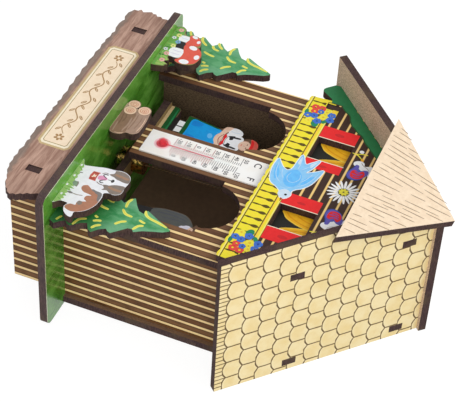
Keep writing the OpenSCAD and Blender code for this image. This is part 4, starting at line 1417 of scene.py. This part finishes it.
LOG_ART = """
blob wood -6.6,5.9 -.4,6 6.6,5.9 7.1,7 7.05,9.2 5.7,11 3.2,11.4 -2.5,11.3 -6.6,10.6
blob logskin -5.2,.2 -1,.25 6.4,.2 8.7,.9 9.3,3.2 8.6,5.3 7.1,6.5 3,6.2 -4.8,5.9
line barkline .5 -2.6,2.7 -.4,3.2 2,2.9
line wood .7 -1.8,5.4 2.4,5.7 7.2,5
line wood .5 2.4,1.2 5.2,1.4 8.2,1.6
line barkline .5 -2.6,1.4 .6,1.9 3.8,2
line cut .3 -3.8,10.6 .6,10.9 5.2,10.4
line logskin .4 -4.4,7.1 .4,7.3 5.6,6.9
line logskin .3 -3.6,9.1 -.2,9.3 4.2,8.9
line cut .25 7.6,6 8.6,4.6 8.9,2.6
oval barkline -7.5 8.2 2.74 2.74 0 26
oval cut -7.5 8.2 2.55 2.55 0 26
oval ring -7.5 8.2 1.6 1.8 0
oval cut -7.5 8.2 1.35 1.55 0
oval ring -7.4 8.3 .9 1 0
oval cut -7.4 8.3 .65 .75 0
oval ring -7.4 8.3 .3 .35 0
oval barkline -9.6 2.9 2.6 2.6 0 26
oval cut -9.6 2.9 2.4 2.45 0 26
oval ring -9.7 2.9 1.4 1.7 0
oval cut -9.7 2.9 1.15 1.45 0
oval ring -9.7 3 .75 .95 0
oval cut -9.7 3 .5 .7 0
oval barkline -5.6 2.85 2.72 2.72 0 26
oval cut -5.6 2.85 2.5 2.55 0 26
oval ring -5.6 2.85 1.5 1.75 0
oval cut -5.6 2.85 1.25 1.5 0
oval ring -5.5 2.9 .85 1 0
oval cut -5.5 2.9 .6 .75 0
oval ring -5.5 2.9 .3 .4 0
"""

FIR_ART = """
line lemon 1.15 -.7,41.5 -1.8,37.5 -2.55,34 -3.8,31.75 -5.8,30.75
line lemon 1 .6,33.25 .3,31.8 -.2,30.5
line lemon 1.15 1.95,33.25 2.95,31.5 5.45,30.25
line lemon 1.15 -.55,27.5 -1.05,24.5 -3.05,22.5
line lemon 1.15 2.45,26.5 3.7,24.5 5.7,23
line lemon 1.15 -9.55,23.6 -7.3,22.75 -4.3,23.15
line lemon 1.15 -6.55,19 -8.3,17 -10.05,16.1
line lemon 1.15 -4.9,18 -5.55,15.5 -7.3,14.4
line lemon 1.15 -.55,17.75 -1.05,14.75 -2.05,12.5
line lemon 1 5.1,16 4.8,15.2 4.45,14.5
line lemon 1.15 6.2,18 6.6,16.4 7.45,15
line lemon 1.15 8.2,18.75 9.4,17 11.2,16
line lemon 1.15 -6.05,12 -8.3,9.25 -11.05,8.25
line lemon 1 -9.55,3.5 -11,2.6 -12.55,2
line lemon 1.15 7.4,12.5 8.9,10 12.4,8.9
line lemon 1 9.9,3.5 11.2,2.8 12.65,2.25
"""

# The pink halo around the bulb and the red disc under it are painted red light that the spirit casts on the
# scale card.
BULB_ART = """
oval halo -.2 19.4 3.3 3.3 0 26
oval bulb -.2 19.4 2.45 2.45 0 24
"""

# In the woman's art, the pale azure oval on the apron is a painted highlight.
WOMAN_ART = """
poly tan -10.75,7.75 10.75,7.75 10.7,9.2 -10.7,9.2
poly forest -10.7,9.2 10.7,9.2 10.7,11 9.6,12.1 -9.6,12.1 -10.7,11
line green .7 -9.6,11.2 0,11.4 9.6,11.2
blob black -4.4,12.1 -4.4,13.9 -3,14.8 -.5,14.4 -.3,12.1
blob black 4.4,12.1 4.4,13.9 3,14.8 .5,14.4 .3,12.1
poly white -3.6,14.4 -.3,14.4 -.3,17.4 -3.5,17.4
poly white 3.6,14.4 .3,14.4 .3,17.4 3.5,17.4
poly shade -.3,12.1 .3,12.1 .3,17.2 -.3,17.2
poly forest -7.8,17.1 7.8,17.1 7.4,21.6 6.6,26.4 5.8,31 4.6,33.4 -4.6,33.4 -5.8,31 -6.6,26.4 -7.4,21.6
blob apron -6.5,19.3 0,19.1 6.5,19.3 6.2,24 5.2,30 4.2,33 -4.2,33 -5.2,30 -6.2,24
oval azure .2 29.4 1.6 1.1 20
blob blue -6,20.2 -3,20 -3.4,23.4 -5.4,24.4
blob blue 6,20.2 3,20 3.4,23.4 5.4,24.4
blob white -4.4,42.4 0,43 4.4,42.4 4.6,35.6 -4.6,35.6
oval white -6.2 38.4 2.5 3.3 -12
oval white 6.2 38.4 2.5 3.3 12
line ice .25 -6.6,40.8 -6,38.6 -6.2,36.4
line ice .25 6.6,40.8 6,38.6 6.2,36.4
line shade 1 -3.3,41.9 -3.1,39.8 -2.9,37.6
line shade 1 3.3,41.9 3.1,39.8 2.9,37.6
blob shade -3.9,39.2 -2.6,38.8 -1.6,38.9 -1,37.8 -1.6,36 -2.6,36.2 -3.4,37.2
blob shade 3.9,39.2 2.6,38.8 1.6,38.9 1,37.8 1.6,36 2.6,36.2 3.4,37.2
blob skin -8.4,36.6 -8,34 -6.4,33.2 -3.6,32.6 -1.4,31.5 1.4,31.5 3.6,32.6 6.4,33.2 8,34 8.4,36.6 \
    5.8,35.6 3.2,34.6 0,34.6 -3.2,34.6 -5.8,35.6
line red 1.2 -3.6,35.2 0,35.6 3.6,35.2
line rose .3 -3.4,34.4 0,33.2 3.4,34.4
oval white 0 36.7 2.6 .9 0
line grey .25 -2.4,36.5 0,36.1 2.4,36.5
line coat .4 -3.2,45.4 -2.8,43.8 -2,42.8
line coat .4 3.2,45.4 2.8,43.8 2,42.8
oval skin 0 44.6 3 2.6 0
blob brick -4.9,45.9 -4.5,47.9 -3.2,49.4 -1.4,50 1.4,50 3.2,49.4 4.5,47.9 4.9,45.9 2.4,46.6 0,46.8 \
    -2.4,46.6
blob red -4.6,46.2 -3.4,47.6 0,48.2 3.4,47.6 4.6,46.2 2.4,46.7 0,46.9 -2.4,46.7
line umber .3 -1.6,45.5 -1.1,45.6 -.6,45.4
line umber .3 1.6,45.5 1.1,45.6 .6,45.4
line brick .3 -.6,43.4 0,43.2 .6,43.4
line skinline .25 0,44.9 .15,44.3 -.1,44.1
"""

MAN_ART = """
poly tan -8.75,7.75 8.75,7.75 8.7,9.2 -8.7,9.2
poly forest -8.7,9.2 8.7,9.2 8.7,11 7.6,12.1 -7.6,12.1 -8.7,11
blob shade -1.9,12.1 -1.9,15.6 1.6,15.4 1.8,12.1
blob shade 2.4,12.1 2.6,15.4 5.9,15.6 6,12.1
poly shade -2.3,15 5.9,15 6.2,16.6 7.8,19.4 7.9,27 -2.6,27 -2.9,26 -2.4,21
blob loden -2.7,26.2 -4.1,29.4 -4.6,33.6 -4.5,38.4 -3.8,40.3 -2.5,42.1 -.8,43.6 .6,44.2 2.8,43 5.4,40.4 \
    6.4,38.8 8.4,37.2 8.7,34 7.8,30.6 8.1,26.4 5.4,25.9 1,26.1
line slate .4 -3,40.6 -3.8,36 -3.5,30
line slate .5 -1.2,41.4 -2.2,36 -1.8,28
line slate .35 .6,42.6 -.4,38 .2,31
line slate .4 5.6,38.6 6.2,34 6,27
line slate .3 2.8,39.6 2.9,33 2.8,27
blob pearl 1.4,40.9 1.7,44.6 2.6,46.1 3.8,44.6 4.6,41 3.4,39.6 2.2,39.5
oval skin 3.4 43.4 2.4 2.4 0
blob pearl .9,43.6 1,41.4 3.3,40.2 5.6,41.4 5.8,43.6 3.3,42.7
blob bark -.9,45.3 .4,44.8 3.4,45.2 6.4,44.9 8.2,45.5 8,45.9 6.2,46.3 5.6,48.8 3.4,49.7 1.2,48.8 \
    .7,46.4 -.9,45.8
line umber .3 2.3,44 2.5,44.1 2.8,44
line umber .3 4,44 4.3,44.1 4.6,44
"""

HIP_STROKES = (
    (-32.3, 2.7, -31.1, 6.1), (-29.8, 2.7, -28.9, 8.6), (-26.7, 1.1, -25.9, 8.6), (-24, 8.3, -23.6, 13),
    (-23.6, 1.75, -23.1, 8.3), (-21.5, 9.6, -20.25, 16.75), (-20.75, 1.75, -19.4, 13.3),
    (-18.4, 1.75, -16.7, 16.4), (-15.25, 1.1, -13.9, 12.4), (-13.6, 13.9, -12, 24.9),
    (-12.2, 4.9, -11.1, 14.6), (-10.9, 18.3, -9.8, 27.1), (-9.6, 2.1, -8.4, 18.9),
    (-7.4, 21.1, -6.4, 31.1), (-7, 1.75, -6.7, 6.4), (-6.1, 8.9, -5, 21.4), (-4.6, 23, -3.7, 33.6),
    (-3.75, 0.5, -3.25, 13.3), (-1.6, 17.4, -1.9, 23.3), (-0.4, 24.9, -0.9, 34.25), (0.4, 2.1, 0, 13.3),
    (2.75, 16.4, 1.9, 30.2), (3.6, 25.5, 3.3, 32.4), (4.1, 1.75, 3.3, 11.1), (6.1, 8, 5, 23.3),
    (7.1, 16.75, 6.75, 25.8), (9.25, 2.1, 8, 13.9), (10.2, 9.6, 9.25, 21.75), (11.1, 17.4, 10.8, 23),
    (12.6, 2.1, 11.4, 12.4), (14.25, 6.75, 13, 17.4), (15.5, 15.5, 14.9, 21.1), (16.6, 2.1, 16.1, 12.4),
    (18.75, 6.75, 18, 16.1), (21.4, 8, 20.5, 16.1), (21.75, 1.4, 21.1, 4.9), (24.6, 1.1, 23.9, 8),
    (26.9, 1.1, 26.3, 9.9), (30.5, 1.1, 30.2, 5.5),
)


def lettering(name: str, labels: list[tuple[str, float, float, float]], y: float,
              material: Material) -> bpy.types.Object:
    """Build printed numbers and unit letters as one piece of thin raised ink.

    Each label is set by the text tool, turned into a mesh and then laid on the plane at depth y: the text's
    x and y become X and Z about the label's middle, and its thickness becomes depth.

    Args:
        name: The piece's name.
        labels: Text, middle X, middle Z and height of a capital, in millimetres of the house's frame.
        y: Depth of the face that carries the ink.
        material: The ink.

    Returns:
        The piece.
    """
    verts, faces, base = [], [], 0
    for text, x, z, size in labels:
        curve = bpy.data.curves.new("label", "FONT")
        curve.body, curve.size, curve.extrude, curve.offset = text, size * 1.42, INK_THICK, size * 0.012
        curve.align_x, curve.align_y, curve.resolution_u = "CENTER", "CENTER", 3
        holder = bpy.data.objects.new("label", curve)
        bpy.context.scene.collection.objects.link(holder)
        flat = bpy.data.meshes.new_from_object(holder.evaluated_get(bpy.context.evaluated_depsgraph_get()))
        spots = np.empty(len(flat.vertices) * 3)
        flat.vertices.foreach_get("co", spots)
        spots = spots.reshape(-1, 3)
        verts.append(np.stack([x + spots[:, 0], y - spots[:, 2] - INK_THICK, z + spots[:, 1]], axis=1))
        corners = np.empty(len(flat.loops), int)
        flat.loops.foreach_get("vertex_index", corners)
        starts = np.empty(len(flat.polygons), int)
        flat.polygons.foreach_get("loop_start", starts)
        faces += [part.tolist() for part in np.split(corners + base, starts[1:])]
        base += len(spots)
        bpy.data.objects.remove(holder)
        bpy.data.meshes.remove(flat)
    mesh = bpy.data.meshes.new(name)
    mesh.from_pydata(to_row(np.vstack(verts)).tolist(), [], faces)
    return settle(mesh, np.tile(paint(INKS["tick"]), (base, 1)), material, "house")


@dataclass
class House:
    """The walls, the gable, the roof, the sign and the base board."""

    nodes: dict[str, bpy.types.Object]
    ink: Material
    plank_pitch: float = 4.1
    plank_start: float = 2.05
    plank_last: float = 99.0
    baluster_first: float = -0.86
    baluster_pitch: float = 3.93
    baluster_reach: int = 12
    mortise_x: float = 44.5
    hip_foot: Vector = (0.0, -16.5, 104.0)
    hip_rise: Vector = (0.0, 0.2521, 0.9677)
    stroke_width: float = 0.36
    vine_left: float = -24.5
    vine_right: float = 24.5
    vine_z: float = -12.15
    vine_swing: float = 1.5
    vine_turn: float = 0.52
    leaf_pitch: float = 3.02

    def dress(self) -> None:
        """Give each board its printed, bare and burnt faces."""
        finishes = {
            "lawn": TurfFinish("turf", Side.TOP, gloss=0.16, shine=0.5),
            # The walls' backs carry the bare board darkened as painted shade inside the house; the roofs'
            # backs carry it lightened as painted light.
            "wall_left": PlankFinish("plank_left", Side.LEFT, back=SHADED_INSIDE_BACK),
            "wall_right": PlankFinish("plank_right", Side.RIGHT, back=SHADED_INSIDE_BACK),
            "front_wall": PlankFinish("plank_front", Side.FRONT, axis=0, pitch=self.plank_pitch,
                                      start=self.plank_start, last=self.plank_last, middle=(112, 74, 50),
                                      rim=(78, 46, 20), back=SHADED_INSIDE_BACK),
            "rear_wall": BoardFinish("rear_board", Side.FRONT, face=(124, 98, 78)),
            "facade": GablePlanks("gable", Side.FRONT),
            "roof_left": ShingleFinish("shingle_left", Side.ROOF_LEFT, back=LIT_ROOF_BACK),
            "roof_right": ShingleFinish("shingle_right", Side.ROOF_RIGHT, back=LIT_ROOF_BACK),
            "hip_panel": BoardFinish("hip_board", Side.HIP, face=(240, 216, 186)),
            "sign_board": SignWood("sign_wood", Side.FRONT),
            "gut_bridge": BoardFinish("bare_board", Side.TOP, face=BARE_BOARD),
        }
        for name, finish in finishes.items():
            dress(self.nodes[name], finish.make())

    def balusters(self) -> str:
        """Write the dark gaps between the balcony's turned balusters, cut short below the mortises.

        Returns:
            The shapes, one per line.
        """
        half = np.array([0.2, 0.4, 0.42, 0.24, 0.3, 0.68, 0.85, 0.7, 0.3, 0.2])
        z = np.array([65.2, 66, 67, 68.2, 69, 69.9, 70.8, 71.6, 72.1, 72.45])
        lines = []
        for k in range(-self.baluster_reach, self.baluster_reach + 1):
            x = self.baluster_first + self.baluster_pitch * k
            n = len(z) if abs(x) < self.mortise_x else 7
            ring = np.vstack([np.stack([x + half, z], 1)[:n], np.stack([x - half, z], 1)[:n][::-1]])
            lines.append("poly gap " + " ".join(f"{u:.2f},{v:.2f}" for u, v in ring))
        return "\n".join(lines)

    def vine(self) -> str:
        """Write a running vine for the sign's plate: a leaf at each quarter wave, a flower at each end.

        The stem's height is vine_z + vine_swing * sin(vine_turn * distance from its left end).

        Returns:
            The shapes, one per line.
        """
        def height(u: float) -> float:
            """Give the stem's height at a distance across the sign."""
            return self.vine_z + self.vine_swing * np.sin((u - self.vine_left) * self.vine_turn)

        stem = " ".join(f"{u:.2f},{height(u):.2f}" for u in np.linspace(self.vine_left, self.vine_right, 33))
        lines = ["line umberlight .5 " + stem]
        for k, u in enumerate(np.arange(self.vine_left + 1.5, self.vine_right, self.leaf_pitch)):
            up = 1 if k % 2 == 0 else -1
            v = height(u) + up * 1.6
            lines.append(f"oval umberlight {u:.2f} {v:.2f} 1.35 .55 {40 * up}")
            lines.append(f"line plate .2 {u - 0.8:.2f},{v - 0.6 * up:.2f} {u + 0.8:.2f},{v + 0.6 * up:.2f}")
        for u in (self.vine_left - 2.4, self.vine_right + 2.4):
            lines.append(f"daisy umberlight {u:.2f} {self.vine_z:.2f} 2.1 6 .55")
        return "\n".join(lines)

    def build(self) -> None:
        """Print the facade, the window panes behind it, the sign's plate and the hip's shingle strokes."""
        for name, slot, node, art in (
                ("facade_ink", "facade_print", "facade", self.balusters() + FACADE_ART),
                ("window_ink", "front_print", "front_wall", WINDOW_ART),
                ("sign_plate", "sign_wood", "sign_board", SIGN_ART + self.vine())):
            Print(name, slot, (0, front_face(node), 0), art).build(self.ink)
        strokes = "\n".join(f"line stone {self.stroke_width} {a},{b} {c},{d}" for a, b, c, d in HIP_STROKES)
        Print("hip_strokes", "hip_board", self.hip_foot, strokes, up=self.hip_rise).build(self.ink)


@dataclass
class Yard:
    """The firs, the dog, the toadstools and the logs that stand on the base board."""

    nodes: dict[str, bpy.types.Object]
    ink: Material
    left_fir_x: float = -56.2
    right_fir_x: float = 46.1
    # Painted shade at each fir's foot: light on the left fir, deep on the right one.
    left_fir_shade: float = 0.12
    right_fir_shade: float = 0.75
    edge: Colour = (80, 60, 50)

    def dress(self) -> None:
        """Give each cut-out its pale printed board."""
        finishes = {
            "tree_left": FirFinish("fir_tree_left", Side.FRONT, trunk=self.left_fir_x, painted_foot_shade=self.left_fir_shade),
            "tree_right": FirFinish("fir_tree_right", Side.FRONT, trunk=self.right_fir_x,
                                    painted_foot_shade=self.right_fir_shade),
            "log_pile": BoardFinish("log_pile_board", Side.FRONT, face=(186, 158, 136), edge=self.edge),
            "mushrooms": BoardFinish("mushrooms_board", Side.FRONT, face=(138, 140, 88), edge=self.edge),
            "dog": BoardFinish("dog_board", Side.FRONT, face=(240, 240, 246), edge=self.edge),
        }
        for name, finish in finishes.items():
            dress(self.nodes[name], finish.make())

    def build(self) -> None:
        """Print the cut-outs on their front faces; a fir's brush marks each have a narrower amber heart."""
        hearts = FIR_ART.replace("line lemon 1.15", "line amber .2")
        hearts = hearts.replace("line lemon 1 ", "line amber .18 ")
        for name, slot, node, x, art in (
                ("dog_ink", "dog_print", "dog", 0, DOG_ART),
                ("toadstool_ink", "mushroom_print", "mushrooms", 0, TOADSTOOL_ART),
                ("log_ink", "log_print", "log_pile", 0, LOG_ART),
                ("fir_left_ink", "fir_print", "tree_left", self.left_fir_x, FIR_ART + hearts),
                ("fir_right_ink", "fir_print", "tree_right", self.right_fir_x, FIR_ART + hearts)):
            Print(name, slot, (x, front_face(node), 0), art).build(self.ink)


@dataclass
class Works:
    """The thermometer, and the swinging beam with its figures and gut string."""

    nodes: dict[str, bpy.types.Object]
    ink: Material
    zero_z: float = 32.0
    degree: float = 0.404
    tick_half: float = 0.11
    spirit_z: float = 40.6
    celsius_x: float = -4.2
    celsius_top: float = 53.6
    celsius_step: float = 4.04
    fahrenheit_x: float = 4.6
    fahrenheit_top: float = 53.1
    fahrenheit_step: float = 4.49
    number_size: float = 1.7
    unit_z: float = 58.6
    unit_size: float = 3.0
    woman_x: float = -26.0
    man_x: float = 26.0

    def dress(self) -> None:
        """Give the strip, tube, spirit, beam, figures, gut and brass their finishes."""
        # The brass's dark patches, at 0.34 of its colour, are a painted reflection of the dark room around
        # it.
        brass = MetalFinish("brass", (226, 178, 104), 0.22, 0.34).make()
        finishes = {
            "thermometer_strip": CardFinish("strip_card").make(),
            "thermometer_tube": GlassFinish("glass").make(),
            "thermometer_spirit": LiquidFinish("spirit").make(),
            "beam": BoardFinish("beam_board", Side.TOP, face=(142, 118, 78), back_printed=True).make(),
            "gut_string": GutFinish("gut", (120, 88, 50)).make(),
            "clamp_screw": MetalFinish("steel", (150, 150, 154), 0.35).make(),
        }
        figure = BoardFinish("figure_board", Side.FRONT, face=(104, 80, 62), edge=(70, 52, 44)).make()
        finishes |= dict.fromkeys(("woman", "man"), figure)
        turned = ("guide_pin", "balance_weight", "gut_clamp", "adjusting_peg", "peg_washer")
        finishes |= dict.fromkeys(turned, brass)
        for name, finish in finishes.items():
            dress(self.nodes[name], finish)

    def scale_lines(self) -> str:
        """Write the scale's lines: every 2 degrees Celsius on the left, every 4 Fahrenheit on the right.

        A line's height is zero_z + degree * Celsius, and Celsius is (Fahrenheit - 32) / 1.8. The lines beside
        the spirit take its rosy light.

        Returns:
            The shapes, one per line.
        """
        rows = [(c, -5.5 if c % 10 == 0 else -2.4, -1.0) for c in range(-20, 51, 2)]
        rows += [((f - 32) / 1.8, 0.2, 5.2 if f % 20 == 0 else 3.4) for f in range(-4, 123, 4)]
        lines = []
        for celsius, left, right in rows:
            z = self.zero_z + self.degree * celsius
            low, high = f"{z - self.tick_half:.2f}", f"{z + self.tick_half:.2f}"
            ink = "rose" if z < self.spirit_z else "dim"
            lines.append(f"poly {ink} {left},{low} {right},{low} {right},{high} {left},{high}")
        return "\n".join(lines)

    def build(self) -> None:
        """Print the scale and the two figures, which ride on the swing."""
        card = front_face("thermometer_strip")
        Print("scale_lines", "strip_white", (0, card, 0), BULB_ART + self.scale_lines()).build(self.ink)
        labels = [("C", -4.0, self.unit_z, self.unit_size), ("F", 4.4, self.unit_z, self.unit_size)]
        for first, fall, count, x, top, step in (
                (50, 10, 8, self.celsius_x, self.celsius_top, self.celsius_step),
                (120, 20, 7, self.fahrenheit_x, self.fahrenheit_top, self.fahrenheit_step)):
            labels += [(str(first - fall * k), x, top - step * k, self.number_size) for k in range(count)]
        lettering("scale_numbers", labels, card, self.ink)
        for name, slot, node, x, art in (("woman_ink", "woman_print", "woman", self.woman_x, WOMAN_ART),
                                         ("man_ink", "man_print", "man", self.man_x, MAN_ART)):
            Print(name, slot, (x, front_face(node), 0), art, body="swing").build(self.ink)


def main() -> None:
    """Load the frame, set the studio, dress the parts in order and log each one."""
    logging.basicConfig(level=logging.INFO, format="%(message)s")
    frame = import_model()
    bpy.context.scene.view_settings.view_transform = "Standard"
    studio = Studio()
    studio.camera()
    studio.table()
    studio.room()
    studio.lamps()
    ink = InkFinish().make()
    for kind in (House, Yard, Works):
        part = kind(frame["nodes"], ink)
        part.dress()
        part.build()
        LOG.info("%s is built and dressed", kind.__name__)


if __name__ == "__main__":
    main()
